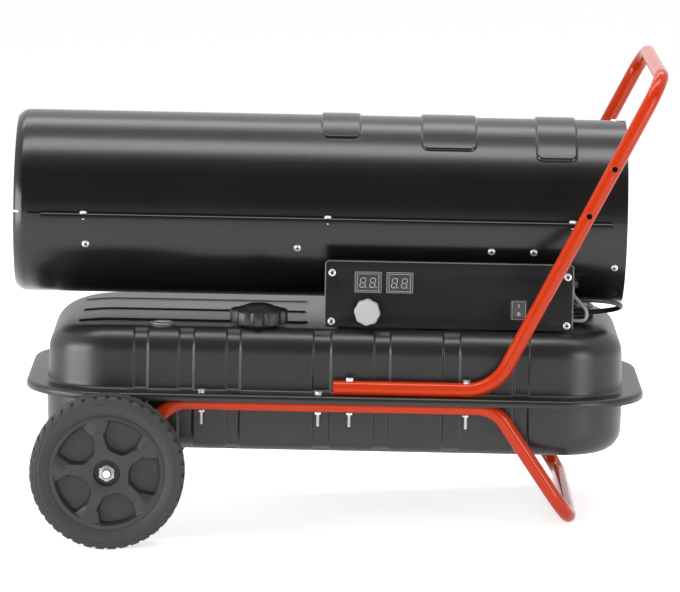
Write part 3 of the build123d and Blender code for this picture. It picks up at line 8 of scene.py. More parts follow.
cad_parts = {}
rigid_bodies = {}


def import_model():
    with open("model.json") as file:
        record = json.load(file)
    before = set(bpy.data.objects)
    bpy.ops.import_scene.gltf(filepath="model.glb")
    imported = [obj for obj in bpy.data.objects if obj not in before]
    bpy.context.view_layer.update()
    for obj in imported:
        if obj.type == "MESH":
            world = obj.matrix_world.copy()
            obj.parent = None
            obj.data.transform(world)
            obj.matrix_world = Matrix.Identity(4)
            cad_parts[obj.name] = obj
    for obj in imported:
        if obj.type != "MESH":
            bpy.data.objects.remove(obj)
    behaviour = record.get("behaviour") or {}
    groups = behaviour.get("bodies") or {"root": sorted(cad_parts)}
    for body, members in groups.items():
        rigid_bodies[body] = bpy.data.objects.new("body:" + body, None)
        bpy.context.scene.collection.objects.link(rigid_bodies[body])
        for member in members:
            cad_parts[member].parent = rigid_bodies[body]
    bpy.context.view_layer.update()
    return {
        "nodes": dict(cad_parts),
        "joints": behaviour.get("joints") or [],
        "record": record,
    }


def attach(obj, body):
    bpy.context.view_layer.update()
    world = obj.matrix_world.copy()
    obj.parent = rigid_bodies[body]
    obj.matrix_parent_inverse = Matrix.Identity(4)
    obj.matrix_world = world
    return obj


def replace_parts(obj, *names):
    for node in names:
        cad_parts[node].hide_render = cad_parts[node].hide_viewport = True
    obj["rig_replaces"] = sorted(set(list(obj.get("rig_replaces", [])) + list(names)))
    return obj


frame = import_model()
joints = {joint["name"]: joint for joint in frame["joints"]}
bodyOf = {node: body for body, members in frame["record"]["behaviour"]["bodies"].items() for node in members}

# Pieces are drawn on the level machine in millimetres: x to the rear from the axle, y to the far side,
# z up from the axle. standing turns that into the frame's metres, leaned back on wheels and foot.
rearward = Vector(joints["fan_spin"]["axis"])
upward = rearward.cross(Vector((0, 1, 0)))
standing = Matrix.Translation(Vector(joints["near_wheel_spin"]["pos_m"])) @ Matrix(
    (rearward, (0, 1, 0), upward)).transposed().to_4x4() @ Matrix.Scale(0.001, 4)

if bpy.data.objects.get("Cube"):
    bpy.data.objects.remove(bpy.data.objects["Cube"])
for lamp in [thing for thing in bpy.data.objects if thing.type in ("LIGHT", "CAMERA")]:
    bpy.data.objects.remove(lamp)



def makeObject(name, data):
    piece = bpy.data.objects.new(name, data)
    bpy.context.scene.collection.objects.link(piece)
    return piece


def setInputs(tree, node, inputs):
    # a socket is linked, and anything else is the input's value
    for key, value in inputs.items():
        if isinstance(value, bpy.types.NodeSocket):
            tree.links.new(value, node.inputs[key])
        else:
            node.inputs[key].default_value = value


def addNode(tree, kind, inputs={}, **settings):
    node = tree.nodes.new(kind)
    for key, value in settings.items():
        setattr(node, key, value)
    setInputs(tree, node, inputs)
    return node


def emptyTree(owner):
    owner.use_nodes = True
    owner.node_tree.nodes.clear()
    return owner.node_tree


# ---- camera, backdrop and light

cameraSet = {
    "place": (278.45, -6605.6, 1225.4),   # on the level machine, mm
    "pitch": 8.832,                       # degrees down
    "yaw": 0.152,
    "roll": 1.178,
    "lens": 266.64,                       # mm on a 36 mm sensor
}


def makeCamera():
    pitch, yaw, roll = (radians(cameraSet[key]) for key in ("pitch", "yaw", "roll"))
    forward = Vector((sin(yaw) * cos(pitch), cos(yaw) * cos(pitch), -sin(pitch)))
    right = forward.cross(Vector((0, 0, 1))).normalized()
    up = right.cross(forward)
    rolledRight = cos(roll) * right + sin(roll) * up
    rolledUp = cos(roll) * up - sin(roll) * right
    turn = Matrix((rolledRight, rolledUp, -forward)).transposed().to_4x4()
    lensData = bpy.data.cameras.new("camera")
    lensData.lens = cameraSet["lens"]
    lensData.sensor_width = 36
    lensData.clip_end = 50
    camera = makeObject("camera", lensData)
    place = Matrix.Translation(standing @ Vector(cameraSet["place"]))
    camera.matrix_world = place @ (standing @ Matrix.Scale(1000, 4)).to_3x3().to_4x4() @ turn
    bpy.context.scene.camera = camera


lightSet = {
    "worldStrength": 0.38,
    "roomShade": 0.1,              # how dark the room in front is in a glossy face, 1 is white
    "floorColour": (0.8, 0.8, 0.8),
    "floorGlow": 0.68,
    "floorReach": 12.0,            # half of its side, in metres
    "lamps": [   # name, place in metres, aimed at, size across and along, watts, mirrored in glossy faces
        ("overhead", (0.0, -0.3, 2.4), (0.0, 0.0, 0.4), (2.8, 0.6), 34, True),
        ("overheadBack", (0.0, 1.15, 2.1), (0.0, 0.0, 0.4), (2.8, 0.5), 16, True),
        ("front", (-0.3, -3.0, 1.4), (0.0, 0.0, 0.3), (2.0, 1.6), 18, False),
        ("left", (-1.65, -0.8, 0.42), (-0.3, 0.0, 0.35), (1.4, 0.8), 25, True),
        ("right", (1.2, -1.2, 0.42), (0.3, 0.0, 0.35), (0.6, 0.8), 9, True),
        ("back", (0.4, 2.6, 1.6), (0.0, 0.0, 0.3), (2.0, 1.4), 16, False),
    ],
}


def raySum(tree):
    # 1 for rays that come straight from the camera, through glass or off a glossy face
    path = addNode(tree, "ShaderNodeLightPath").outputs
    total = path["Is Camera Ray"]
    for name in ("Is Glossy Ray", "Is Transmission Ray"):
        total = addNode(tree, "ShaderNodeMath", {0: total, 1: path[name]}, operation="MAXIMUM").outputs[0]
    return total


def makeLights():
    for name, place, aim, size, watts, mirrored in lightSet["lamps"]:
        lampData = bpy.data.lights.new(name, "AREA")
        lampData.shape = "RECTANGLE"
        lampData.size, lampData.size_y = size
        lampData.energy = watts
        lamp = makeObject(name, lampData)
        lamp.location = place
        lamp.rotation_euler = (Vector(aim) - Vector(place)).to_track_quat("-Z", "Y").to_euler()
        lamp.visible_glossy = mirrored
        lamp.visible_camera = False
    world = bpy.data.worlds.new("studio")
    bpy.context.scene.world = world
    tree = emptyTree(world)
    plain = addNode(tree, "ShaderNodeBackground", {"Color": (1, 1, 1, 1),
                                                   "Strength": lightSet["worldStrength"]})
    # the backdrop is white, and the room in front of the object is dim
    where = addNode(tree, "ShaderNodeTexCoord")
    split = addNode(tree, "ShaderNodeSeparateXYZ", {0: where.outputs["Generated"]})
    fade = addNode(tree, "ShaderNodeMapRange", {"Value": split.outputs["Y"], "From Min": -0.7,
                                                "From Max": 0.0,
                                                "To Min": lightSet["roomShade"]},
                                                interpolation_type="SMOOTHSTEP")
    white = addNode(tree, "ShaderNodeBackground", {"Color": fade.outputs["Result"]})
    mix = addNode(tree, "ShaderNodeMixShader", {0: raySum(tree), 1: plain.outputs[0], 2: white.outputs[0]})
    addNode(tree, "ShaderNodeOutputWorld", {0: mix.outputs[0]})


def makeFloor():
    reach = lightSet["floorReach"]
    mesh = bpy.data.meshes.new("floor")
    mesh.from_pydata([(-reach, -reach, 0), (reach, -reach, 0), (reach, reach, 0), (-reach, reach, 0)],
                     [], [(0, 1, 2, 3)])
    material = bpy.data.materials.new("floorWhite")
    tree = emptyTree(material)
    pale = addNode(tree, "ShaderNodeBsdfDiffuse", {"Color": (*lightSet["floorColour"], 1)})
    share = addNode(tree, "ShaderNodeMath", {0: raySum(tree), 1: lightSet["floorGlow"]}, operation="MULTIPLY")
    glow = addNode(tree, "ShaderNodeEmission", {"Strength": share.outputs[0]})
    both = addNode(tree, "ShaderNodeAddShader", {0: pale.outputs[0], 1: glow.outputs[0]})
    addNode(tree, "ShaderNodeOutputMaterial", {0: both.outputs[0]})
    mesh.materials.append(material)
    makeObject("floor", mesh)


makeCamera()
makeLights()
makeFloor()
bpy.context.scene.view_settings.view_transform = "Standard"
print("camera, light and floor ready")

# ---- finishes


def finish(name, slot, colour, roughness, metallic=0.0, specular=0.5, spread=0.06, mottle=0.12, blotch=40.0,
           grain=0.0, grainScale=900.0, transmission=0.0):
    # colour and roughness drift slowly over the surface, and grain is the fine relief of the finish
    material = bpy.data.materials.new(name)
    material.use_nodes = True
    tree = material.node_tree
    where = addNode(tree, "ShaderNodeTexCoord").outputs["Object"]
    cloud = addNode(tree, "ShaderNodeTexNoise", {"Vector": where, "Scale": blotch,
                                                 "Detail": 4}).outputs["Fac"]
    dark, light = ((*(min(1.0, c * (1 + drift)) for c in colour), 1) for drift in (-mottle, mottle))
    tint = addNode(tree, "ShaderNodeMix", {"A": dark, "B": light, "Factor": cloud}, data_type="RGBA")
    sheen = addNode(tree, "ShaderNodeMapRange", {"Value": cloud, "From Min": 0.3, "From Max": 0.7,
                                                 "To Min": max(0.02, roughness - spread),
                                                 "To Max": roughness + spread})
    setInputs(tree, tree.nodes["Principled BSDF"], {
        "Metallic": metallic, "Specular IOR Level": specular, "Transmission Weight": transmission,
        "Base Color": tint.outputs["Result"], "Roughness": sheen.outputs["Result"]})
    if grain:
        fine = addNode(tree, "ShaderNodeTexNoise", {"Vector": where, "Scale": grainScale, "Detail": 2})
        bump = addNode(tree, "ShaderNodeBump", {"Height": fine.outputs["Fac"], "Strength": grain,
                                                "Distance": 0.0004})
        setInputs(tree, tree.nodes["Principled BSDF"], {"Normal": bump.outputs["Normal"]})
    material["slot"] = slot
    return material


finishSet = (   # name, slot, colour, roughness and the rest; a slot's first row is its plain finish
    ("framePaint", "frame_paint", (0.48, 0.028, 0.0008), 0.16,
     dict(specular=0.3, grain=0.01, grainScale=260, mottle=0.03, spread=0.02)),
    ("barrelPaint", "barrel_paint", (0.0055, 0.0055, 0.0058), 0.24,
     dict(specular=0.48, grain=0.012, grainScale=240, spread=0.012, mottle=0.2, blotch=9.0)),
    ("tankPaint", "tank_paint", (0.0115, 0.0115, 0.012), 0.34,
     dict(specular=0.5, grain=0.02, grainScale=260, spread=0.015, mottle=0.15, blotch=12.0)),
    ("boxPaint", "box_paint", (0.0058, 0.0058, 0.006), 0.45,
     dict(specular=0.22, grain=0.12, grainScale=1400, spread=0.03)),
    ("zinc", "zinc", (0.72, 0.72, 0.7), 0.26, dict(metallic=1.0, grain=0.1, grainScale=1800)),
    ("screwZinc", "zinc", (0.72, 0.72, 0.71), 0.32, dict(metallic=0.6, grain=0.1, grainScale=1800)),
    ("steel", "steel", (0.6, 0.6, 0.6), 0.2, dict(metallic=1.0)),
    # black for the painted shade in the rivet nuts' bores
    ("holeBlack", "steel", (0.004, 0.004, 0.004), 0.9, dict(specular=0.05, mottle=0.0)),
    ("nutZinc", "zinc", (0.42, 0.42, 0.41), 0.34, dict(metallic=0.7, grain=0.1, grainScale=1800)),
    # a lighter copy of the box paint, for the painted highlight on the panel's hem
    ("hemPaint", "box_paint", (0.1, 0.1, 0.1), 0.3, dict(specular=0.5)),
    ("fittingSteel", "steel", (0.16, 0.16, 0.16), 0.35, dict(metallic=0.8)),
    ("hotSteel", "hot_steel", (0.17, 0.155, 0.14), 0.45, dict(metallic=1.0, mottle=0.3, grain=0.15)),
    ("brass", "brass", (0.66, 0.46, 0.2), 0.3, dict(metallic=1.0)),
    ("ceramic", "ceramic", (0.82, 0.8, 0.74), 0.25, {}),
    ("aluminium", "aluminium", (0.6, 0.6, 0.61), 0.42, dict(metallic=1.0, grain=0.25)),
    ("motorPaint", "motor_paint", (0.09, 0.095, 0.1), 0.4, dict(grain=0.3)),
    ("blackPlastic", "black_plastic", (0.022, 0.022, 0.022), 0.42,
     dict(specular=0.45, grain=0.3, grainScale=1600)),
    ("display", "display", (0.012, 0.012, 0.013), 0.12, {}),
    ("bezelBlack", "display", (0.02, 0.02, 0.02), 0.4, dict(grain=0.5, grainScale=2600)),
    # grey for the painted highlights on the bezels' and the switch frame's edges
    ("lineGrey", "display", (0.27, 0.27, 0.27), 0.4, {}),
    ("segmentGrey", "display", (0.33, 0.33, 0.32), 0.4, {}),
    ("rockerGrey", "black_plastic", (0.06, 0.06, 0.06), 0.4, dict(grain=0.2, grainScale=1600)),
    ("knobGrey", "knob_grey", (0.4, 0.4, 0.39), 0.46, dict(grain=0.2, grainScale=1500, mottle=0.03)),
    ("gaugeGlass", "gauge_glass", (0.95, 0.95, 0.95), 0.04, dict(specular=0.2, transmission=1.0, mottle=0.0)),
    ("gaugeRim", "steel", (0.42, 0.42, 0.42), 0.3, dict(metallic=0.8)),
    ("gaugeFace", "steel", (0.04, 0.04, 0.04), 0.5, {}),
    ("markWhite", "", (0.6, 0.6, 0.58), 0.5, dict(mottle=0.02)),
    ("pointerRed", "pointer_red", (0.7, 0.04, 0.02), 0.4, {}),
    ("boardGreen", "board_green", (0.015, 0.12, 0.045), 0.35, {}),
    ("hoseGrey", "hose", (0.3, 0.3, 0.29), 0.4, dict(grain=0.2)),
    ("cordBlack", "cord", (0.018, 0.018, 0.018), 0.4, dict(grain=0.25, grainScale=1500)),
    ("wheelPlastic", "wheel_plastic", (0.033, 0.033, 0.033), 0.42,
     dict(specular=0.4, grain=0.25, grainScale=1300)),
    ("capPlastic", "black_plastic", (0.019, 0.019, 0.019), 0.36,
     dict(specular=0.45, grain=0.3, grainScale=1400)),
    ("switchPlastic", "black_plastic", (0.02, 0.02, 0.02), 0.3, {}),
    ("tyreRubber", "tyre", (0.037, 0.037, 0.037), 0.6, dict(specular=0.35, grain=0.4, grainScale=1100)),
)
finishes = {name: finish(name, slot, colour, roughness, **more)
            for name, slot, colour, roughness, more in finishSet}
print("finishes ready:", len(finishes))

# ---- mesh helpers


def settle(piece, material, stands=(), body=None, smoothAngle=35):
    # last step of every piece: finish, smooth shading, body and the CAD nodes it stands for
    piece.data.materials.clear()
    piece.data.materials.append(finishes[material])
    piece.data.shade_smooth()
    piece.data.set_sharp_from_angle(angle=radians(smoothAngle))
    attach(piece, body or bodyOf[stands[0]])
    if stands:
        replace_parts(piece, *stands)
    return piece


def meshPiece(name, points, faces):
    # points on the level machine
    mesh = bpy.data.meshes.new(name)
    mesh.from_pydata([tuple(p) for p in points], [], faces)
    mesh.transform(standing)
    mesh.update()
    return makeObject(name, mesh)


def tidyMesh(mesh, distance=1e-6, outward=False):
    shell = bmesh.new()
    shell.from_mesh(mesh)
    bmesh.ops.remove_doubles(shell, verts=shell.verts, dist=distance)
    if outward:
        bmesh.ops.recalc_face_normals(shell, faces=shell.faces)
    shell.to_mesh(mesh)
    shell.free()
    mesh.update()


def baked(source, name=None):
    # plain mesh of an object with its modifiers applied
    graph = bpy.context.evaluated_depsgraph_get()
    mesh = bpy.data.meshes.new_from_object(source.evaluated_get(graph))
    name = name or source.name
    bpy.data.objects.remove(source)
    return makeObject(name, mesh)


def gridFaces(rows, columns, closeRows=False, closeColumns=False):
    faces = []
    for r in range(rows if closeRows else rows - 1):
        for c in range(columns if closeColumns else columns - 1):
            nextRow, nextColumn = (r + 1) % rows, (c + 1) % columns
            faces.append((r * columns + c, r * columns + nextColumn,
                          nextRow * columns + nextColumn, nextRow * columns + c))
    return faces


def smoothStep(low, high, value):
    share = min(1.0, max(0.0, (value - low) / (high - low)))
    return share * share * (3 - 2 * share)


def lines(start, end, coarse, fine=1.0, edges=(), reach=4.0):
    # places from start to end, coarse apart, and fine apart near the edges
    places = {round(start, 4), round(end, 4)}
    count = max(1, ceil((end - start) / coarse))
    places |= {round(start + (end - start) * k / count, 4) for k in range(count + 1)}
    for edge in edges:
        steps = int(reach / fine)
        places |= {round(edge + fine * k, 4) for k in range(-steps, steps + 1)
                   if start < edge + fine * k < end}
    kept = []
    for place in sorted(places):
        if not kept or place - kept[-1] > 0.45 * fine:
            kept.append(place)
    kept[-1] = round(end, 4)
    return kept


def dressCad(node, material, bevel=0.25, smoothAngle=32, segments=2):
    # a merged copy of the node's own mesh, with its edges broken
    mesh = frame["nodes"][node].data.copy()
    mesh.materials.clear()
    shell = bmesh.new()
    shell.from_mesh(mesh)
    bmesh.ops.remove_doubles(shell, verts=shell.verts, dist=2e-6)
    bmesh.ops.dissolve_limit(shell, angle_limit=radians(0.6), verts=shell.verts, edges=shell.edges)
    shell.to_mesh(mesh)
    shell.free()
    piece = softened(makeObject(node + "Dressed", mesh), bevel * 0.001, segments, 40)
    return settle(piece, material, stands=(node,), smoothAngle=smoothAngle)


def sweep(name, centre, radius, steps=20, capped=True):
    # round tube along a list of level points, with frames carried along it without twist
    points, faces = [], []
    ways = []
    for k in range(len(centre)):
        before, after = centre[max(0, k - 1)], centre[min(len(centre) - 1, k + 1)]
        ways.append((after - before).normalized())
    side = ways[0].orthogonal().normalized()
    for k, (place, way) in enumerate(zip(centre, ways)):
        side = (side - way * side.dot(way)).normalized()
        up = way.cross(side)
        r = radius(k) if callable(radius) else radius
        points += [place + (side * cos(2 * pi * s / steps) + up * sin(2 * pi * s / steps)) * r
                   for s in range(steps)]
    faces = gridFaces(len(centre), steps, closeColumns=True)
    if capped:
        faces.append(tuple(reversed(range(steps))))
        faces.append(tuple(range((len(centre) - 1) * steps, len(centre) * steps)))
    piece = meshPiece(name, points, faces)
    tidyMesh(piece.data, outward=True)
    return piece


def roundedRoute(corners, radii, spacing=4.0, turnStep=6.0):
    # straight runs joined by arcs, as points
    points = [Vector(corners[0])]
    for before, corner, after, radius in zip(corners, corners[1:], corners[2:], radii):
        before, corner, after = Vector(before), Vector(corner), Vector(after)
        arrive, leave = (corner - before).normalized(), (after - corner).normalized()
        bend = arrive.angle(leave)
        inset = radius * tan(bend / 2)
        start = corner - arrive * inset
        inward = (leave - arrive * arrive.dot(leave)).normalized()
        centre = start + inward * radius
        run = (start - points[-1]).length
        count = max(1, int(run / (spacing * 5)))
        points += [points[-1].lerp(start, (k + 1) / count) for k in range(count)]
        count = max(3, int(bend * 180 / pi / turnStep))
        for k in range(1, count + 1):
            angle = bend * k / count
            points.append(centre - inward * radius * cos(angle) + arrive * radius * sin(angle))
    last = Vector(corners[-1])
    count = max(1, int((last - points[-1]).length / (spacing * 5)))
    points += [points[-1].lerp(last, (k + 1) / count) for k in range(count)]
    return points


# ---- turned, faceted and repeated pieces


def lathe(outline, steps=48):
    # (radius, height) outline turned round the local z axis
    closed = outline[0] == outline[-1]
    rings = outline[:-1] if closed else outline
    points = [(r * cos(2 * pi * s / steps), r * sin(2 * pi * s / steps), h) for r,
              h in rings for s in range(steps)]
    return points, gridFaces(len(rings), steps, closeRows=closed, closeColumns=True)


def loft(rings, closed=False, capped=True):
    # rings of equal length joined in turn
    count = len(rings[0])
    points = [point for ring in rings for point in ring]
    faces = gridFaces(len(rings), count, closeRows=closed, closeColumns=True)
    if capped and not closed:
        faces += [tuple(reversed(range(count))), tuple(range(len(points) - count, len(points)))]
    return points, faces


def slab(outline, low, high):
    return loft([[(x, y, z) for x, y in outline] for z in (low, high)])


def block(x, y, z, length, width, height):
    # box from its middle
    return slab([(x - length / 2, y - width / 2), (x + length / 2, y - width / 2),
                 (x + length / 2, y + width / 2), (x - length / 2, y + width / 2)], z - height / 2,
                 z + height / 2)


def together(*parts):
    points, faces = [], []
    for morePoints, moreFaces in parts:
        faces += [tuple(i + len(points) for i in face) for face in moreFaces]
        points += list(morePoints)
    return points, faces


def hexagon(flats, low, high, chamfer=30, bore=0.0, steps=48, lowChamfer=False):
    # nut or bolt head with its corners turned off
    reach = flats / 2
    corners = [reach / cos((2 * pi * s / steps + pi / 6) % (pi / 3) - pi / 6) for s in range(steps)]
    fall = [(corner - reach) * tan(radians(chamfer)) for corner in corners]
    turns = [2 * pi * s / steps for s in range(steps)]

    def ring(radius, height):
        return [(r * cos(a), r * sin(a), h) for r, h, a in zip(radius, height, turns)]

    rings = [ring([bore] * steps, [low] * steps), ring([reach * 0.96] * steps, [low] * steps)]
    rings.append(ring(corners, [low + (f if lowChamfer else 0.0) for f in fall]))
    rings.append(ring(corners, [high - f for f in fall]))
    rings.append(ring([reach * 0.96] * steps, [high] * steps))
    rings.append(ring([bore] * steps, [high] * steps))
    return loft(rings, closed=bool(bore), capped=not bore)


def softened(piece, width, segments=2, angle=35):
    edge = piece.modifiers.new("edges", "BEVEL")
    edge.width = width
    edge.segments = segments
    edge.limit_method = "ANGLE"
    edge.angle_limit = radians(angle)
    edge.use_clamp_overlap = True
    return baked(piece, piece.name)


def solidPiece(name, part, cuts=()):
    # local piece in mm, its cuts taken out
    mesh = bpy.data.meshes.new(name)
    mesh.from_pydata(part[0], [], part[1])
    piece = makeObject(name, mesh)
    tidyMesh(mesh, 1e-4, outward=True)
    for n, cut in enumerate(cuts):
        tool = solidPiece("%sCut%d" % (name, n), cut)
        change = piece.modifiers.new("cut", "BOOLEAN")
        change.operation = "DIFFERENCE"
        change.solver = "EXACT"
        change.object = tool
        piece = baked(piece)
        bpy.data.objects.remove(tool)
    return piece


def axes(centre, way, side=None):
    # local z along way, local x along side, both on the level machine
    way = Vector(way).normalized()
    side = Vector(side) if side else way.orthogonal()
    side = (side - way * side.dot(way)).normalized()
    across = way.cross(side)
    return Matrix.Translation(Vector(centre)) @ Matrix((side, across, way)).transposed().to_4x4()


def stand(piece, centre=(0, 0, 0), way=(0, 0, 1), side=(1, 0, 0)):
    # moves a local piece to its place, in the mesh
    piece.data.transform(standing @ axes(centre, way, side))
    piece.data.update()
    return piece


def makeTree(name, sockets):
    # new geometry group with these inputs and one result
    tree = bpy.data.node_groups.new(name, "GeometryNodeTree")
    for label, kind in sockets:
        tree.interface.new_socket(label, in_out="INPUT", socket_type="NodeSocket" + kind)
    tree.interface.new_socket("Result", in_out="OUTPUT", socket_type="NodeSocketGeometry")
    return tree, tree.nodes.new("NodeGroupInput").outputs


def endTree(tree, geometry, material):
    painted = addNode(tree, "GeometryNodeSetMaterial", {"Geometry": geometry, "Material": material})
    addNode(tree, "NodeGroupOutput", {0: painted.outputs[0]})
    return tree


def grown(holder, tree, values):
    # plain mesh of what the group makes with these values
    change = holder.modifiers.new(tree.name, "NODES")
    change.node_group = tree
    for item in tree.interface.items_tree:
        if item.in_out == "INPUT" and item.name in values:
            change[item.identifier] = values[item.name]
    return baked(holder)


def makeScatterTree():
    tree, given = makeTree("scatterPiece", (("Places", "Geometry"), ("Piece", "Object"), ("Size", "Float"),
                                            ("Twist", "Float"), ("Finish", "Material")))
    way, side = (addNode(tree, "GeometryNodeInputNamedAttribute", {"Name": name}, data_type="FLOAT_VECTOR")
                 for name in ("way", "side"))
    facing = addNode(tree, "FunctionNodeAxesToRotation", {"Primary Axis": way.outputs["Attribute"],
                     "Secondary Axis": side.outputs["Attribute"]}, primary_axis="Z", secondary_axis="X")
    chance = addNode(tree, "FunctionNodeRandomValue", {"Seed": 7, 3: given["Twist"]})
    spin = addNode(tree, "FunctionNodeAxisAngleToRotation", {"Angle": chance.outputs[1]})
    turned = addNode(tree, "FunctionNodeRotateRotation", {0: facing.outputs[0], 1: spin.outputs[0]},
                     rotation_space="LOCAL")
    shape = addNode(tree, "GeometryNodeObjectInfo", {"Object": given["Piece"]})
    spread = addNode(tree, "GeometryNodeInstanceOnPoints", {
        "Points": given["Places"], "Instance": shape.outputs["Geometry"],
        "Rotation": turned.outputs[0], "Scale": given["Size"]})
    real = addNode(tree, "GeometryNodeRealizeInstances", {0: spread.outputs[0]})
    return endTree(tree, real.outputs[0], given["Finish"])


scatterTree = makeScatterTree()


def scatter(name, shape, places, material, twist=0.0):
    # one mesh of the shape at each place: (point, way, side) on the level machine
    mesh = bpy.data.meshes.new(name)
    mesh.from_pydata([tuple(standing @ Vector(point)) for point, way, side in places], [], [])
    turnOnly = standing.to_3x3().normalized()
    for key, column in (("way", 1), ("side", 2)):
        values = mesh.attributes.new(key, "FLOAT_VECTOR", "POINT")
        ways = [turnOnly @ Vector(entry[column]).normalized() for entry in places]
        values.data.foreach_set("vector", [number for way in ways for number in way])
    piece = grown(makeObject(name, mesh), scatterTree,
                  {"Piece": shape, "Size": 0.001, "Twist": twist, "Finish": finishes[material]})
    bpy.data.objects.remove(shape)
    return piece


def strewn(name, shape, places, material, twist=0.0, **rest):
    return settle(scatter(name, shape, places, material, twist), material, **rest)


# ---- mains lead

cordSet = {
    "diameter": 0.0066,
    "length": 1.6785,
    "relief": (583.0, -86.0, 214.0),
    "lead": [(605, -86, 214), (641, -86, 214), (665, -68, 206), (666, -42, 197), (645, -26, 190),
             (614, -26, 187.4)],
    "coilX": 585.0,
    "coilStartY": -26.0,
    "coilTop": 187.4,
    "coilPitch": 7.1,
    "coilRadius": 50.0,
    "halfTurns": 5,
    "perTurn": 12,
    "tail": [(535, 65.1, 180.3), (515, 93.1, 186.3), (483, 107.1, 195), (455, 107.1, 195)],
    "plug": (455.0, 107.1, 195.0),
}


def coilTurns():
    c = cordSet
    step, count, part = c["coilPitch"] / 2, c["halfTurns"], pi * 2 / c["perTurn"]
    radii = [c["coilRadius"] - step * k for k in range(count + 1)]
    radii += [c["coilRadius"] - step * k for k in range(count - 1, -1, -1)]
    points, y, z = [], c["coilStartY"], c["coilTop"]
    for number, radius in enumerate(radii):
        way = 1 if number % 2 == 0 else -1
        drop = c["coilPitch"] if number == count else 0.0
        spans = c["perTurn"] // (4 if number == len(radii) - 1 else 2)
        for k in range(spans):
            turn = (k + 0.5) * part
            reach = radius / cos(part / 2)
            points.append((c["coilX"] - way * reach * sin(turn), y + way * (radius - reach * cos(turn)),
                           z - drop * (k + 0.5) / spans))
        y, z = y + way * 2 * radius, z - drop
    return points


def makeCord():
    c = cordSet
    corners = c["lead"] + coilTurns() + c["tail"]
    curve = bpy.data.curves.new("mainsLead", "CURVE")
    curve.dimensions = "3D"
    line = curve.splines.new("NURBS")
    line.points.add(len(corners) - 1)
    for point, corner in zip(line.points, corners):
        point.co = (*(standing @ Vector(corner)), 1)
    line.order_u = 3
    line.use_endpoint_u = True
    line.resolution_u = 8
    curve.bevel_depth = c["diameter"] / 2
    curve.bevel_resolution = 5
    curve.use_fill_caps = True
    lead = makeObject("mainsLead", curve)
    curve.materials.append(finishes["cordBlack"])
    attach(lead, "root")
    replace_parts(lead, "mains_lead", "mains_coil", "mains_tail")
    makePlug()


def makePlug():
    body = [(0, 0.0), (3.6, 0.0), (4.6, 0.3), (4.9, 3.0), (4.3, 3.6), (4.3, 4.4), (5.3, 5.0), (5.6, 7.0),
            (4.9, 7.6), (4.9, 8.4),
            (6.1, 9.0), (6.6, 12.0), (10.5, 13.4), (14.0, 16.5), (16.2, 21.0), (17.2, 27.0), (17.2, 28.2),
            (16.6, 28.8),
            (16.6, 30.2), (17.4, 30.8), (17.6, 33.2), (17.0, 33.8), (17.0, 35.2), (17.8, 35.8), (18.0, 44.0),
            (18.0, 49.6),
            (17.2, 51.4), (15.8, 52.0), (0, 52.0)]
    plug = lathe(body, 48)
    pin = [(0, 51.0), (2.4, 51.0), (2.4, 69.4), (2.0, 70.5), (1.2, 71.0), (0, 71.0)]
    piece = stand(solidPiece("mainsPlug", plug), cordSet["plug"], (-1, 0, 0), (0, 1, 0))
    settle(piece, "cordBlack", stands=("mains_plug",), smoothAngle=40)
    pins = [(Vector(cordSet["plug"]) + Vector((0, end * 9.5, 0)), (-1, 0, 0), (0, 1, 0)) for end in (-1, 1)]
    return [piece, strewn("plugPins", solidPiece("pinShape", lathe(pin, 20)), pins, "zinc", body="root")]


def makeRelief():
    outline = [(0, -1.0), (8.6, -1.0), (8.6, 1.4), (8.0, 2.0), (6.6, 2.0)]
    for k in range(4):
        start, r = 3.0 + 4.4 * k, 6.6 - 0.45 * k
        outline += [(r, start), (r - 0.25, start + 2.6), (r - 1.1, start + 3.0), (r - 1.15, start + 3.9)]
    outline += [(4.7, 20.8), (4.5, 21.6), (4.0, 22.0), (0, 22.0)]
    piece = stand(solidPiece("strainRelief", lathe(outline, 40)), cordSet["relief"], (1, 0, 0), (0, 0, 1))
    settle(piece, "blackPlastic", stands=("strain_relief",), smoothAngle=30)


makeCord()
makeRelief()
print("mains lead ready")

# ---- barrel

barrelSet = {
    "height": 320.0,
    "radius": 120.0,
    "front": -132.0,
    "rear": 668.0,
    "lipLength": 15.0,
    "lipDrop": 8.0,
    "seamStep": 1.2,
    "sheet": 1.2,
    "seam": (-95.0, 648.0),
    "lowerLead": 18.0,             # how far the lower half's plain ledge runs on to the front
    "notch": (7.0, 0.75),          # length of the gap at the seam's front end, and degrees cut from each half
    "ledge": 12.0,
    "ledgeLip": 7.0,
    "ledgeBend": 4.0,
    "padHeight": 3.0,
    "padCorner": 9.0,
    "padEdge": 3.0,
    "pads": [(268.0, 50.0, 35.0), (399.0, 71.0, 43.5), (549.0, 52.0, 50.0)],   # x, length, half angle
}


def padRise(x, arc):
    rise = 0.0
    for start, length, half in barrelSet["pads"]:
        halfLength, halfArc = length / 2, radians(half) * barrelSet["radius"]
        corner = barrelSet["padCorner"]
        dx = abs(x - start - halfLength) - halfLength + corner
        dy = abs(arc) - halfArc + corner
        outside = hypot(max(dx, 0), max(dy, 0)) + min(max(dx, dy), 0) - corner
        rise += barrelSet["padHeight"] * smoothStep(barrelSet["padEdge"] / 2, -barrelSet["padEdge"] / 2,
                                                    outside)
    return rise


def lipFall(x):
    into = max(0.0, barrelSet["front"] + barrelSet["lipLength"] - x) / barrelSet["lipLength"]
    return barrelSet["lipDrop"] * into ** 2.1


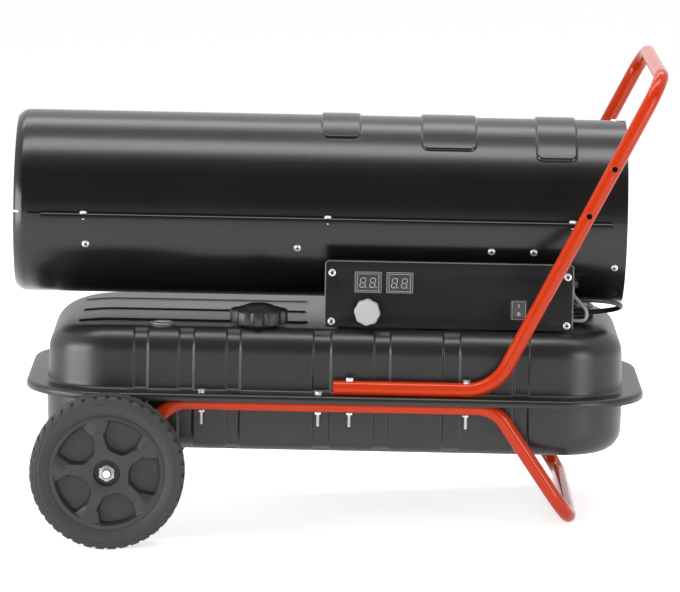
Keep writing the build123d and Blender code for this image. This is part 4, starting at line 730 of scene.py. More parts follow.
def makeShell(name, start, end, withPads, node):
    # half of the barrel: one surface from start to end degrees, given its thickness afterwards
    radius = barrelSet["radius"]
    padEdges = [edge for x, length, half in barrelSet["pads"] for edge in (x, x + length)] if withPads else []
    xs = lines(barrelSet["front"], barrelSet["rear"], 12.0, 0.9, padEdges + [barrelSet["front"]], 11.0)
    turns = [90 + side * half for x, length, half in barrelSet["pads"]
             for side in (-1, 1)] if withPads else []
    angles = lines(start, end, 4.0, 0.42, turns, 5.0)
    points = []
    notchLength, gap = barrelSet["notch"]
    for angle in angles:
        for x in xs:
            rise = padRise(x, radians(angle - 90) * radius) if withPads else 0.0
            r = radius + rise - lipFall(x)
            turn = min(max(angle, start + gap), end - gap) if x < barrelSet["front"] + notchLength else angle
            points.append(Vector((x, r * cos(radians(turn)), barrelSet["height"] + r * sin(radians(turn)))))
    piece = meshPiece(name, points, gridFaces(len(angles), len(xs)))
    tidyMesh(piece.data)
    wall = piece.modifiers.new("wall", "SOLIDIFY")
    wall.thickness = barrelSet["sheet"] * 0.001
    wall.offset = 1
    wall.use_even_offset = True
    piece = baked(piece, name)
    tidyMesh(piece.data, outward=True)
    return settle(piece, "barrelPaint", stands=(node,), smoothAngle=50)


def seamStrip(name, outline, spans):
    # a strip of this outline along both seams
    strips = [loft([[(x, side * y, z) for y, z in outline] for x in span])
              for side in (-1, 1) for span in spans]
    piece = meshPiece(name, *together(*strips))
    tidyMesh(piece.data, outward=True)
    settle(piece, "barrelPaint", body="root", smoothAngle=40)


def makeLedge():
    # the upper shell's seam flange with its lip bent down, and the lower shell's flange under it
    radius, sheet, height = barrelSet["radius"], barrelSet["sheet"], barrelSet["height"]
    reach, lip = radius + barrelSet["ledge"], barrelSet["ledgeLip"]
    bend = barrelSet["ledgeBend"]
    upper = [(radius - 0.6, height + sheet)]
    upper += [(reach - bend + bend * sin(radians(a)), height + sheet - bend + bend * cos(radians(a)))
              for a in range(0, 91, 15)]
    upper += [(reach, height + sheet - lip), (reach - sheet, height + sheet - lip),
              (reach - sheet, height), (radius - 0.6, height)]
    lower = [(radius - 0.6, height - 0.05), (reach - sheet - 0.3, height - 0.05),
             (reach - sheet - 0.3, height - sheet), (radius - 0.6, height - sheet)]
    start, end = barrelSet["seam"]
    seamStrip("upperLedge", upper, [(start, end)])
    seamStrip("lowerLedge", lower, [(start - barrelSet["lowerLead"], end)])


def makeSeamStep():
    # beyond the ledge the upper shell only laps over the lower one
    radius, height, step = barrelSet["radius"], barrelSet["height"], barrelSet["seamStep"]
    outline = [(radius - 0.6, height + 1.0), (radius + 0.7 * step, height + 1.0),
               (radius + step, height + 0.7),
               (radius + step, height + 0.2), (radius + 0.7 * step, height), (radius - 0.6, height)]
    seamStrip("seamStep", outline, [(barrelSet["front"] + barrelSet["lipLength"] + 5, barrelSet["seam"][0]),
                                    (barrelSet["seam"][1], barrelSet["rear"] - 0.5)])


makeShell("upperShell", 0, 180, True, "upper_shell")
makeShell("lowerShell", 180, 360, False, "lower_shell")
makeLedge()
makeSeamStep()
print("barrel ready")

# ---- fuel tank

tankSet = {
    "front": -85.0,
    "length": 753.0,
    "width": 338.0,
    "corner": 83.0,
    "seam": 96.3,
    "flangeTop": 97.5,
    "flange": 28.0,
    "rim": 10.0,
    "rimRound": 5.0,
    "footRound": 5.0,
    "top": 177.0,
    "bottom": 18.0,
    "draft": 1.5,
    "topRound": 31.0,
    "bottomRound": 28.0,
    "bandDepth": 2.5,
    "bandEdge": 3.4,
    "bandEnd": 147.0,
    "bandFoot": 2.0,
    "bands": [(39, 18), (98, 19), (159, 18), (274, 23), (352, 21), (442, 22), (533, 20)],   # x, width
    "slope": 0.14,
    "slopeStart": 5.0,
    "beads": [-87.0, 0.0, 87.0],
    "beadWidth": 14.0,
    "beadHeight": 1.8,
    "beadStart": -46.0,
    "beadLength": 300.0,
}


def tankProfile(upper):
    # outset from the foot outline and height, from the flange's rim to where the flat top begins
    t = tankSet
    profile = []
    if upper:
        rimRound, flangeTop, reach = t["rimRound"], t["flangeTop"], t["flange"]
        profile.append((reach - 0.4, flangeTop - t["rim"]))
        profile.append((reach, flangeTop - t["rim"] + 0.6))
        profile += [(reach - rimRound + rimRound * cos(radians(a)),
                     flangeTop - rimRound + rimRound * sin(radians(a)))
                    for a in range(0, 91, 15)]
        profile += [(reach * share, flangeTop) for share in (0.62, 0.45)]
        foot, rise = t["flangeTop"], 1
        face, far, edge = t["seam"], t["top"], t["topRound"]
    else:
        foot, rise = t["seam"] - t["rim"] * 0.12, -1
        profile += [(t["flange"] - 1.6, foot), (t["flange"] * 0.5, foot)]
        face, far, edge = t["seam"], t["bottom"], t["bottomRound"]
    footRound = t["footRound"]
    lean = tan(radians(t["draft"]))
    profile += [(footRound - footRound * sin(radians(a)), foot + rise * footRound * (1 - cos(radians(a))))
                for a in range(0, 91, 15)]
    start, end = foot + rise * footRound, far - rise * edge
    count = 12
    profile += [(-lean * abs(start + (end - start) * k / count - face), start + (end - start) * k / count)
                for k in range(1, count + 1)]
    inset = -lean * abs(end - face)
    profile += [(inset - edge * (1 - cos(radians(a))), end + rise * edge * sin(radians(a)))
                for a in range(6, 91, 6)]
    return profile


def bandDip(x, y, z, upper):
    # how far a pressed band sinks the skin here
    t = tankSet
    dip = 0.0
    for middle, width in t["bands"]:
        inside = width / 2 - abs(x - middle)
        dip = max(dip, smoothStep(-t["bandEdge"] / 2, t["bandEdge"] / 2, inside))
    foot = t["flangeTop"] if upper else t["seam"]
    fromFoot = abs(z - foot)
    dip *= smoothStep(t["bandFoot"] - 3, t["bandFoot"] + 2, fromFoot)
    dip *= smoothStep(t["bandEnd"] - 3, t["bandEnd"] + 3, abs(y))
    return t["bandDepth"] * dip


def frontFall(x, z):
    # the top slopes down towards the front end
    t = tankSet
    into = max(0.0, t["slopeStart"] - x) / (t["slopeStart"] - t["front"])
    return t["slope"] * into ** 2 * max(0.0, z - t["flangeTop"])


def beadLift(x, y):
    t = tankSet
    half = t["beadWidth"] / 2
    lift = 0.0
    for middle in t["beads"]:
        start, end = t["beadStart"] + half, t["beadStart"] + t["beadLength"] - half
        distance = hypot(x - min(max(x, start), end), y - middle) - half
        lift = max(lift, smoothStep(1.3, -1.3, distance))
    return t["beadHeight"] * lift


def makeTankHalf(name, upper):
    t = tankSet
    sign = 1 if upper else -1
    front, rear = t["front"], t["front"] + t["length"]
    halfWidth, corner = t["width"] / 2, t["corner"]
    bandEdges = [m + s * w / 2 for m, w in t["bands"] for s in (-1, 1)]
    beadEnds = [t["beadStart"] + t["beadLength"]] if upper else []
    xs = lines(front + corner, rear - corner, 14.0, 0.6, bandEdges, 2.4)
    if upper:
        xs = sorted(set(xs) | set(lines(beadEnds[0] - 9, beadEnds[0] + 2, 1.5)))
    beadEdges = [m + s * t["beadWidth"] / 2 for m in t["beads"] for s in (-1, 1)] if upper else []
    ys = lines(-halfWidth + corner, halfWidth - corner, 12.0, 0.8, [e for e in beadEdges if abs(e) < 84], 2.4)
    arcSteps = 26
    # outline of the foot with its outward directions, counter-clockwise from the near side's front end
    outline = []
    for places, (nx, ny), centre in (
            ([(x, -halfWidth) for x in xs], (0, -1), (rear - corner, -halfWidth + corner)),
            ([(rear, y) for y in ys], (1, 0), (rear - corner, halfWidth - corner)),
            ([(x, halfWidth) for x in reversed(xs)], (0, 1), (front + corner, halfWidth - corner)),
            ([(front, y) for y in reversed(ys)], (-1, 0), (front + corner, -halfWidth + corner))):
        outline += [(*place, nx, ny) for place in places]
        outline += [(*centre, nx * cos(a) - ny * sin(a), ny * cos(a) + nx * sin(a))
                    for a in (pi / 2 * k / arcSteps for k in range(1, arcSteps))]
    onArc = [abs(n[2]) > 1e-9 and abs(n[3]) > 1e-9 for n in outline]

    def place(entry, arc, outset, z):
        x, y, nx, ny = entry
        spread = corner + outset if arc else outset
        return x + nx * spread, y + ny * spread, z

    profile = tankProfile(upper)
    flat = t["top"] if upper else t["bottom"]
    edgeInset = -profile[-1][0]
    insets = lines(edgeInset, corner, 6.0, 0.9, [75.0, 82.0] if upper else [], 3.0)[1:-1]
    if upper:
        insets = sorted(set(insets) | set(lines(edgeInset + 1, edgeInset + 24, 2.5)))
    profile += [(-inset, flat) for inset in insets]
    points = []
    for outset, z in profile:
        for entry, arc in zip(outline, onArc):
            px, py, pz = place(entry, arc, outset, z)
            dip = bandDip(px, py, pz, upper) if outset < 1 else 0.0
            steep = smoothStep(t["top"] - t["topRound"], t["top"], z) if upper else smoothStep(
                t["bottom"] + t["bottomRound"], t["bottom"], z)
            nx, ny = entry[2], entry[3]
            lift = beadLift(px, py) if upper and outset < -20 else 0.0
            fall = frontFall(px, pz) if upper else 0.0
            points.append((px - nx * dip * (1 - steep), py - ny * dip * (1 - steep),
                           pz + lift - fall - sign * dip * steep))
    count = len(outline)
    faces = gridFaces(len(profile), count, closeColumns=True)
    base = len(points)
    for y in ys:
        for x in xs:
            lift = beadLift(x, y) - frontFall(x, flat) if upper else 0.0
            points.append((x, y, flat + lift))
    faces += [tuple(base + i for i in face) for face in gridFaces(len(ys), len(xs))]
    # stitch the last ring to the middle field: each outline point meets its field point
    fieldOf = {}
    for r, y in enumerate(ys):
        for c, x in enumerate(xs):
            fieldOf[(round(x, 4), round(y, 4))] = base + r * len(xs) + c
    rowIndex = (len(profile) - 1) * count
    inner = []
    for entry, arc in zip(outline, onArc):
        fx, fy = (entry[0], entry[1]) if arc else (entry[0] - entry[2] * corner, entry[1] - entry[3] * corner)
        inner.append(fieldOf[(round(fx, 4), round(fy, 4))])
    for i in range(count):
        n = (i + 1) % count
        face = [rowIndex + i, rowIndex + n, inner[n], inner[i]]
        if inner[n] == inner[i]:
            face = face[:3]
        faces.append(tuple(face))
    piece = meshPiece(name, points, faces)
    tidyMesh(piece.data, outward=True)
    wall = piece.modifiers.new("wall", "SOLIDIFY")
    wall.thickness = barrelSet["sheet"] * 0.001
    wall.offset = -1
    return baked(piece, name)


for name, upper, node in (("tankUpper", True, "tank_upper"), ("tankLower", False, "tank_lower")):
    settle(makeTankHalf(name, upper), "tankPaint", stands=(node,), smoothAngle=50)
print("tank ready")

# ---- screws and bolts

screwSet = {
    "headRadius": 4.9,
    "headHeight": 2.6,
    "slot": (1.9, 5.8, 1.9),       # width, span and depth of the cross
    "seamX": [-40.0, 278.0, 596.0],
    "seamY": 126.0,
    "shellX": [-37.0, 239.0, 492.0, 547.0],
    "rear": [(653.0, 90), (653.0, 210), (653.0, 330)],
    "panel": [(x, z) for x in (285.0, 591.5) for z in (186.5, 250.5)],
    "panelY": -135.0,
}


def panHead(name):
    r, h = screwSet["headRadius"], screwSet["headHeight"]
    width, span, depth = screwSet["slot"]
    head = [(0, -0.3), (r, -0.3), (r, 0.34 * h), (0.95 * r, 0.58 * h), (0.82 * r, 0.8 * h),
            (0.6 * r, 0.93 * h),
            (0.3 * r, 0.99 * h), (0, h)]
    shank = [(0, -9.0), (1.3, -9.0), (2.0, -7.6), (2.0, -0.2)]
    cuts = [block(0, 0, h + 0.5 - depth / 2, *size, depth + 1) for size in ((span, width), (width, span))]
    return solidPiece(name, together(lathe(head, 28), lathe(shank, 10)), cuts)


def crossShadeFloor(name):
    # painted shade: a dark plate at the bottom of a screw's cross, where the recess is in shadow
    width, span, depth = screwSet["slot"]
    level = screwSet["headHeight"] - depth
    span, width = span - 0.2, width - 0.1
    bars = [block(0, 0, level + 0.1, *size, 0.2) for size in ((span, width), (width, span))]
    return solidPiece(name, together(*bars))


def barrelPlace(x, angle):
    out = Vector((0, cos(radians(angle)), sin(radians(angle))))
    return Vector((x, 0, barrelSet["height"])) + out * barrelSet["radius"], out, Vector((1, 0, 0))


def makeScrews():
    places = [((x, side * screwSet["seamY"], 321.2), (0, 0, 1), (1, 0, 0)) for x in screwSet["seamX"]
              for side in (-1, 1)]
    places += [barrelPlace(x, angle) for x in screwSet["shellX"] for angle in (200, 340)]
    places += [barrelPlace(x, angle) for x, angle in screwSet["rear"]]
    front = [((x, screwSet["panelY"], z), (0, -1, 0), (1, 0, 0)) for x, z in screwSet["panel"]]
    for name, spots, node in (("barrelScrew", places, "barrel_screws"),
                              ("panelScrew", front, "panel_screws")):
        strewn(name + "s", panHead("screwShape"), spots, "screwZinc", 3.0, stands=(node,))
        # each cross gets a dark plate in its floor, painted shade in the recess
        strewn(name + "Cross", crossShadeFloor("crossShape"), spots, "gaugeFace", 3.0, body="root")


boltSet = {
    "flats": 8.8,
    "head": 4.5,
    "nutFlats": 7.6,
    "nut": 2.6,
    "radius": 2.2,
    "pitch": 1.0,
    "tip": 56.0,
    "runnerUnder": 74.5,
    "frameX": [119.0, 270.0],
    "frameSeat": 97.5,
    "handleX": [310.5, 461.5],
    "handleSeat": 116.0,
    "sideY": 182.0,
}


def threaded(radius, low, high, pitch, tip=0.8):
    outline = [(0, low), (radius - tip, low), (radius - 0.35, low + tip)]
    height = low + tip + pitch / 2
    while height < high:
        outline += [(radius, height), (radius - 0.42, height + pitch / 2)]
        height += pitch
    return outline + [(radius, high)]


def makeBolts():
    b = boltSet
    seats = [(x, b["frameSeat"]) for x in b["frameX"]] + [(x, b["handleSeat"]) for x in b["handleX"]]
    places = [((x, side * b["sideY"], seat), (0, 0, 1), (1, 0, 0)) for x, seat in seats for side in (-1, 1)]
    flange = lathe([(0, 0), (b["flats"] * 0.57, 0), (b["flats"] * 0.57, 0.5), (b["flats"] * 0.5, 1.1),
                    (0, 1.1)], 32)
    crown = hexagon(b["flats"], 0.9, b["head"])
    strewn("flangeBoltHeads", solidPiece("boltShape", together(flange, crown)), places, "nutZinc", 1.0,
           stands=("flange_bolts",), smoothAngle=30)
    places = [((x, side * b["sideY"], b["runnerUnder"]), (0, 0, -1), (1, 0, 0)) for x,
              seat in seats for side in (-1, 1)]
    shank = threaded(b["radius"], 0, b["runnerUnder"] - b["tip"] + 2, b["pitch"])
    shank = lathe([(r, b["runnerUnder"] - b["tip"] - h) for r, h in shank], 16)
    nut = hexagon(b["nutFlats"], 0.05, b["nut"], lowChamfer=True)
    strewn("flangeBoltTails", solidPiece("boltShape", together(shank, nut)), places, "screwZinc", 1.0,
           body="root", smoothAngle=30)


makeScrews()
makeBolts()
print("screws and bolts ready")

# ---- wheels

wheelSet = {
    "radius": 100.0,
    "width": 44.0,
    "rim": 75.0,
    "faces": (208.0, 242.0),       # rim faces, from the middle plane of the machine
    "tyre": (203.0, 247.0),
    "boss": (199.4, 23.0),         # inner end and radius
    "recess": (234.0, 17.0),
    "bore": 6.05,
    "pockets": 5,
    "turn": -4.0,
    "depth": 13.0,
    "rimShape": [(30.7, 20.0), (49.0, 27.0), (67.5, 21.5)],      # radius, half angle
    "flareShape": [(29.8, 20.6), (49.6, 28.6), (69.3, 31.0)],
    "floorShape": [(32.2, 18.5), (49.0, 24.8), (65.8, 20.0)],
    "flare": 3.6,
    "lugs": 40,
    "lugGap": 4.2,
    "lugDepth": 2.5,
    "lugLength": 13.0,
}


def pocketOutline(shape, round, turn):
    # flat inner edge, two widening sides and an arc along the rim, always with the same count of points
    (r0, a0), (r1, a1), (r2, a2) = shape
    corners = [(r0, -a0), (r0, a0), (r1, a1), (r2, a2)]
    arc = [(r2, a2 * (0.78 - 1.56 * k / 12)) for k in range(13)]
    loop = [(radius * cos(radians(angle)), radius * sin(radians(angle)), corner) for radius, angle, corner in
            [(*c, True) for c in corners] + [(*c, False) for c in arc] + [(r2, -a2, True), (r1, -a1, True)]]
    outline = []
    for k, (x, y, corner) in enumerate(loop):
        here = Vector((x, y))
        if not corner:
            outline.append(here)
            continue
        before, after = Vector(loop[k - 1][:2]), Vector(loop[(k + 1) % len(loop)][:2])
        cut = min(round, 0.45 * (before - here).length, 0.45 * (after - here).length)
        start, end = here + (before - here).normalized() * cut, here + (after - here).normalized() * cut
        outline += [start.lerp(here, t).lerp(here.lerp(end, t), t) for t in (0, 0.25, 0.5, 0.75, 1)]
    return [(p.x * cos(turn) - p.y * sin(turn), p.x * sin(turn) + p.y * cos(turn)) for p in outline]


def hubFace(turn, centre):
    # one moulded face of the hub, local z outward and 0 at the face
    shell = bmesh.new()
    edges = []

    def ring(outline, z):
        return [shell.verts.new((x, y, z)) for x, y in outline]

    def bridge(outer, inner):
        for k in range(len(outer)):
            n = (k + 1) % len(outer)
            shell.faces.new((outer[k], outer[n], inner[n], inner[k]))

    def circle(radius, z, steps):
        turns = [2 * pi * s / steps for s in range(steps)]
        return ring([(radius * cos(a), radius * sin(a)) for a in turns], z)

    def addLoop(loop):
        for k in range(len(loop)):
            ends = loop[k], loop[(k + 1) % len(loop)]
            edges.append(shell.edges.get(ends) or shell.edges.new(ends))

    outer = [circle(wheelSet["rim"] - inset, -drop, 120) for inset,
             drop in ((0.6, 0.0), (0.17, 0.17), (0.0, 0.6))]
    for outside, inside in zip(outer[1:], outer):
        bridge(outside, inside)
    addLoop(outer[0])
    rings = [circle(radius, z, 60) for radius, z in centre]
    for outside, inside in zip(rings, rings[1:]):
        bridge(outside, inside)
    addLoop(rings[0])
    for k in range(wheelSet["pockets"]):
        angle = radians(turn + 72 * k)
        stages = [("flareShape", 5.0, 0.0), ("rimShape", 4.0, -wheelSet["flare"]),
                  ("rimShape", 4.0, -wheelSet["flare"] - 0.01), ("floorShape", 4.0, -wheelSet["depth"] + 1.0)]
        loops = [ring(pocketOutline(wheelSet[key], round, angle), z) for key, round, z in stages]
        tight = [(v.co.x * 0.985 + cos(angle) * 0.74, v.co.y * 0.985 + sin(angle) * 0.74) for v in loops[-1]]
        loops.append(ring(tight, -wheelSet["depth"]))
        for outside, inside in zip(loops, loops[1:]):
            bridge(outside, inside)
        shell.faces.new(loops[-1])
        addLoop(loops[0])
    bmesh.ops.triangle_fill(shell, use_beauty=True, edges=edges)
    mesh = bpy.data.meshes.new("hubFace")
    shell.to_mesh(mesh)
    shell.free()
    return mesh


def makeHub(place, side):
    inner, outer = wheelSet["faces"]
    bossEnd, bossRadius = wheelSet["boss"]
    recessFloor, recess = wheelSet["recess"]
    bore = wheelSet["bore"]
    join = bmesh.new()
    outCentre = [(recess + 1.0, 0.0), (recess + 0.3, -0.3), (recess, -1.0),
                 (recess, recessFloor - outer + 0.8),
                 (recess - 0.8, recessFloor - outer), (bore, recessFloor - outer),
                 (bore, recessFloor - outer - 14)]
    inCentre = [(bossRadius + 1.5, 0.0), (bossRadius + 0.4, 0.4), (bossRadius, 1.5),
                (bossRadius, inner - bossEnd - 0.7),
                (bossRadius - 0.7, inner - bossEnd), (bore, inner - bossEnd),
                (bore, inner - recessFloor + 14)]
    for centre, face, way, turn in ((outCentre, side * outer, (0, side, 0), -side),
                                    (inCentre, side * inner, (0, -side, 0), side)):
        mesh = hubFace(turn * wheelSet["turn"], centre)
        mesh.transform(axes((0, face, 0), way, (1, 0, 0)))
        join.from_mesh(mesh)
    wall = bpy.data.meshes.new("hubWall")
    points, faces = lathe([(wheelSet["rim"], 0.6), (wheelSet["rim"], outer - inner - 0.6)], 120)
    wall.from_pydata(points, [], faces)
    wall.transform(axes((0, side * inner, 0), (0, side, 0), (1, 0, 0)))
    join.from_mesh(wall)
    bmesh.ops.remove_doubles(join, verts=join.verts, dist=0.005)
    bmesh.ops.recalc_face_normals(join, faces=join.faces)
    mesh = bpy.data.meshes.new("hub" + place)
    join.to_mesh(mesh)
    join.free()
    mesh.transform(standing)
    piece = makeObject("hub" + place, mesh)
    settle(piece, "wheelPlastic", stands=("wheel_hub_" + place.lower(),), smoothAngle=28)


def makeTyre(place, side):
    low, high = wheelSet["tyre"]
    r, half = wheelSet["radius"], (high - low) / 2
    drop, length = wheelSet["lugDepth"], wheelSet["lugLength"]
    core = r - drop
    shape = [(75.05, 15.0), (75.2, 17.1), (76.4, 18.0), (80.0, 20.3), (84.5, 21.7), (88.0, half),
             (89.4, half),
             (90.0, half - 0.5), (91.4, half - 0.5), (92.0, half - 0.05), (94.5, half - 0.5),
             (96.3, half - 1.6),
             (core, half - 3.2), (core, half - length + 0.4), (r, half - length), (r, 3.0), (r - 0.5, 2.2),
             (r - 0.5, 0.8),
             (r, 0.0)]
    outline = shape + [(radius, -z) for radius, z in reversed(shape[:-1])] + [shape[0]]
    carcass = solidPiece("tyre" + place, lathe(outline, 160))
    stand(carcass, (0, side * (low + half), 0), (0, side, 0))
    pitch = 2 * pi * r / wheelSet["lugs"]
    wide = (pitch - wheelSet["lugGap"]) / 2
    section = [(-0.6, -drop - 1.5), (-0.6, 0.0), (length - 4.6, 0.0)]
    section += [(length - 4.6 + 4.4 * sin(radians(a)), -4.4 + 4.4 * cos(radians(a)))
                for a in (20, 40, 60, 80)]
    section += [(length - 0.3, -drop - 3.0), (length - 4.0, -drop - 3.2)]
    lug = loft([[(x * (1 - 0.06 * (z + 3 > 0)), y, z) for y, z in section] for x in (-wide, wide)])
    ends = []
    for k in range(wheelSet["lugs"]):
        angle = 2 * pi * (k + 0.5) / wheelSet["lugs"]
        out = Vector((cos(angle), 0, sin(angle)))
        for end in (-1, 1):
            # local z outward from the axle, local y towards the tyre's own edge
            along = Vector((0, end * side, 0)).cross(out)
            ends.append((out * (r - 0.15) + Vector((0, side * (low + half) + end * side * (half - length),
                                                    0)), out, along))
    shapeOfLug = softened(solidPiece("lugShape", lug), 0.7, 2, 30)
    lugs = scatter("lugs" + place, shapeOfLug, ends, "tyreRubber")
    join = bmesh.new()
    join.from_mesh(carcass.data)
    join.from_mesh(lugs.data)
    join.to_mesh(carcass.data)
    join.free()
    bpy.data.objects.remove(lugs)
    settle(carcass, "tyreRubber", stands=("tyre_" + place.lower(),), smoothAngle=40)


for place, side in (("Near", -1), ("Far", 1)):
    makeHub(place, side)
    makeTyre(place, side)

axleSet = {"washers": [(197.0, 12.0), (234.4, 9.8)], "washer": 2.0, "nut": (236.4, 246.4), "flats": 19.0,
           "radius": 6.0, "end": 249.9, "thread": 30.0, "collar": 7.9}


def makeAxle():
    a = axleSet
    parts = []
    for face, rim in a["washers"]:
        parts.append(lathe([(a["radius"], face), (rim - 0.3, face), (rim, face + 0.3),
                            (rim, face + a["washer"] - 0.3),
                            (rim - 0.3, face + a["washer"]), (a["radius"], face + a["washer"]),
                            (a["radius"], face)], 48))
    low, high = a["nut"]
    parts.append(hexagon(a["flats"], low, high - 2.2, bore=a["radius"], lowChamfer=True, steps=72))
    collar = a["collar"]
    parts.append(lathe([(a["radius"], high - 3.0), (collar, high - 3.0), (collar, high - 0.9),
                        (collar - 0.3, high - 0.25),
                        (collar - 0.9, high), (a["radius"] + 0.2, high - 0.2), (a["radius"], high - 3.0)],
                        48))
    for place, side in (("Near", -1), ("Far", 1)):
        piece = stand(solidPiece("axleNut" + place, together(*parts)), way=(0, side, 0))
        settle(piece, "nutZinc", ("axle_nuts",) if place == "Near" else (), body="root", smoothAngle=30)
    half = threaded(a["radius"], 0, a["thread"], 1.5, tip=1.0)
    rod = [(r, -a["end"] + h) for r, h in half] + [(r, a["end"] - h) for r, h in reversed(half)]
    piece = stand(solidPiece("axleRod", lathe(rod, 32)), way=(0, 1, 0))
    settle(piece, "zinc", stands=("axle",), smoothAngle=30)


makeAxle()
print("wheels ready")

# ---- frame and handle tubes

tubeSet = {
    "radius": 9.5,
    "sideY": 182.0,
    "frame": [(0, -182, 0), (83, -182, 84), (499, -182, 84), (600, -182, -62), (600, 182, -62),
              (499, 182, 84),
              (83, 182, 84), (0, 182, 0)],
    "frameBends": [45, 45, 42, 42, 45, 45],
    "handle": [(291, -182, 107), (497, -182, 107), (704, -182, 517), (704, 182, 517), (497, 182, 107),
               (291, 182, 107)],
    "handleBends": [60, 42, 42, 60],
    "sleeve": (11.0, 30.0),        # radius and length
    "bore": 6.05,
    "plugDome": 2.5,
    "inserts": [(613.9, 338.6), (645.1, 400.3)],
    "insert": (6.0, 3.7),          # flange and hole radius
}


def makeTubes():
    r = tubeSet["radius"]
    for name, key, node in (("frameTube", "frame", "frame_tube"), ("handleTube", "handle", "handle_tube")):
        route = roundedRoute(tubeSet[key], tubeSet[key + "Bends"], turnStep=3.0)
        settle(sweep(name, route, r, 36), "framePaint", stands=(node,), smoothAngle=50)
    radius, length = tubeSet["sleeve"]
    half, bore = length / 2, tubeSet["bore"]
    sleeve = lathe([(bore, -half), (radius - 0.6, -half), (radius, -half + 0.6), (radius, half - 0.6),
                    (radius - 0.6, half), (bore, half), (bore, -half)], 40)
    bead = lathe([(r - 0.4, 9.0), (r + 1.4, 10.0), (r + 1.5, 11.4), (r + 0.8, 12.8), (r - 0.4, 13.4),
                  (r - 0.4, 9.0)], 40)
    plug = lathe([(0, -8.0), (7.8, -8.0), (7.8, -0.3), (r, -0.1), (r, 0.5), (r - 0.5, 1.4), (r - 2.0, 2.1),
                  (r - 5.0, tubeSet["plugDome"]), (0, tubeSet["plugDome"])], 40)
    caps = []
    for name, side in (("Near", -1), ("Far", 1)):
        y = side * tubeSet["sideY"]
        for label, shape, way, across in (("axleSleeve", sleeve, (0, 1, 0), (1, 0, 0)),
                                          ("weld", bead, (83, 0, 84), (0, 1, 0))):
            settle(stand(solidPiece(label + name, shape), (0, y, 0), way, across), "framePaint", body="root")
        caps.append(((291, y, 107), (-1, 0, 0), (0, 0, 1)))
    strewn("handlePlugs", solidPiece("plugShape", plug), caps, "framePaint", stands=("handle_plugs",))
    flange, hole = tubeSet["insert"]
    ring = lathe([(hole, 0.1), (hole, 0.7), (hole + 0.4, 1.0), (flange - 0.7, 1.0), (flange, 0.4),
                  (flange, -2.1),
                  (hole, -2.1), (hole, 0.1)], 40)
    # a black disc just inside each rivet nut's bore, here called thread, is painted shade in the hole
    thread = lathe([(0, -0.6), (hole + 0.05, -0.6), (hole + 0.05, 0.14), (0, 0.14)], 32)
    nuts = [((x, side * (tubeSet["sideY"] + r), z), (0, side, 0), (0, 0, 1))
            for x, z in tubeSet["inserts"] for side in (-1, 1)]
    strewn("rivetNuts", solidPiece("ringShape", ring), nuts, "framePaint", stands=("rivet_nuts",))
    strewn("rivetHoles", solidPiece("holeShape", thread), nuts, "holeBlack", body="root")


makeTubes()
print("tubes ready")

# ---- control box

boxSet = {
    "panelY": -135.0,
    "displays": [("display_left", 331.8, 239.0), ("display_right", 373.0, 239.0)],
    "display": (17.5, 13.8, 1.6),      # half width, half height, how far it stands out
    "window": (13.0, 10.1, 0.9),
    "digitX": (-6.9, 6.0),
    "digit": (3.2, 6.1),               # half width and half height between the strokes' middles
    "stroke": (5.3, 1.1, 0.14),       # length, width, thickness
    "slant": 8.0,
    "knob": (331.3, 200.7, 16.5, 0.6, 8, 17.0),    # x, z, radius, lobe, lobes, height
    "knobTurn": 85.0,
    "rocker": (528.5, 206.0),
    "switch": (10.5, 13.25),
}


def roundedBox(halfWidth, halfHeight, corner, z, steps=4):
    outline = []
    for n, (sx, sy) in enumerate(((1, 1), (-1, 1), (-1, -1), (1, -1))):
        for k in range(steps + 1):
            angle = radians(90 * n + 90 * k / steps)
            outline.append((sx * (halfWidth - corner) + corner * cos(angle),
                            sy * (halfHeight - corner) + corner * sin(angle), z))
    return outline


def onPanel(piece, x, z, proud=0.0):
    return stand(piece, (x, boxSet["panelY"] - proud, z), (0, -1, 0), (1, 0, 0))


def strokeShape():
    length, width, thick = boxSet["stroke"]
    outline = [(-length / 2, 0), (-length / 2 + width * 0.5, -width / 2),
               (length / 2 - width * 0.5, -width / 2),
               (length / 2, 0), (length / 2 - width * 0.5, width / 2), (-length / 2 + width * 0.5, width / 2)]
    return solidPiece("strokeShape", slab(outline, -thick, thick))


def highlightFrame(name, halfWidth, halfHeight, corner, width, low, high, x, z):
    # a thin lighter frame lying on a moulded face's edge: a painted highlight of that edge
    rings = [roundedBox(halfWidth - inset, halfHeight - inset, corner, level)
             for inset, level in ((0.0, low), (0.0, high), (width, high), (width, low))]
    settle(onPanel(solidPiece(name, loft(rings, closed=True)), x, z), "lineGrey", body="root", smoothAngle=30)


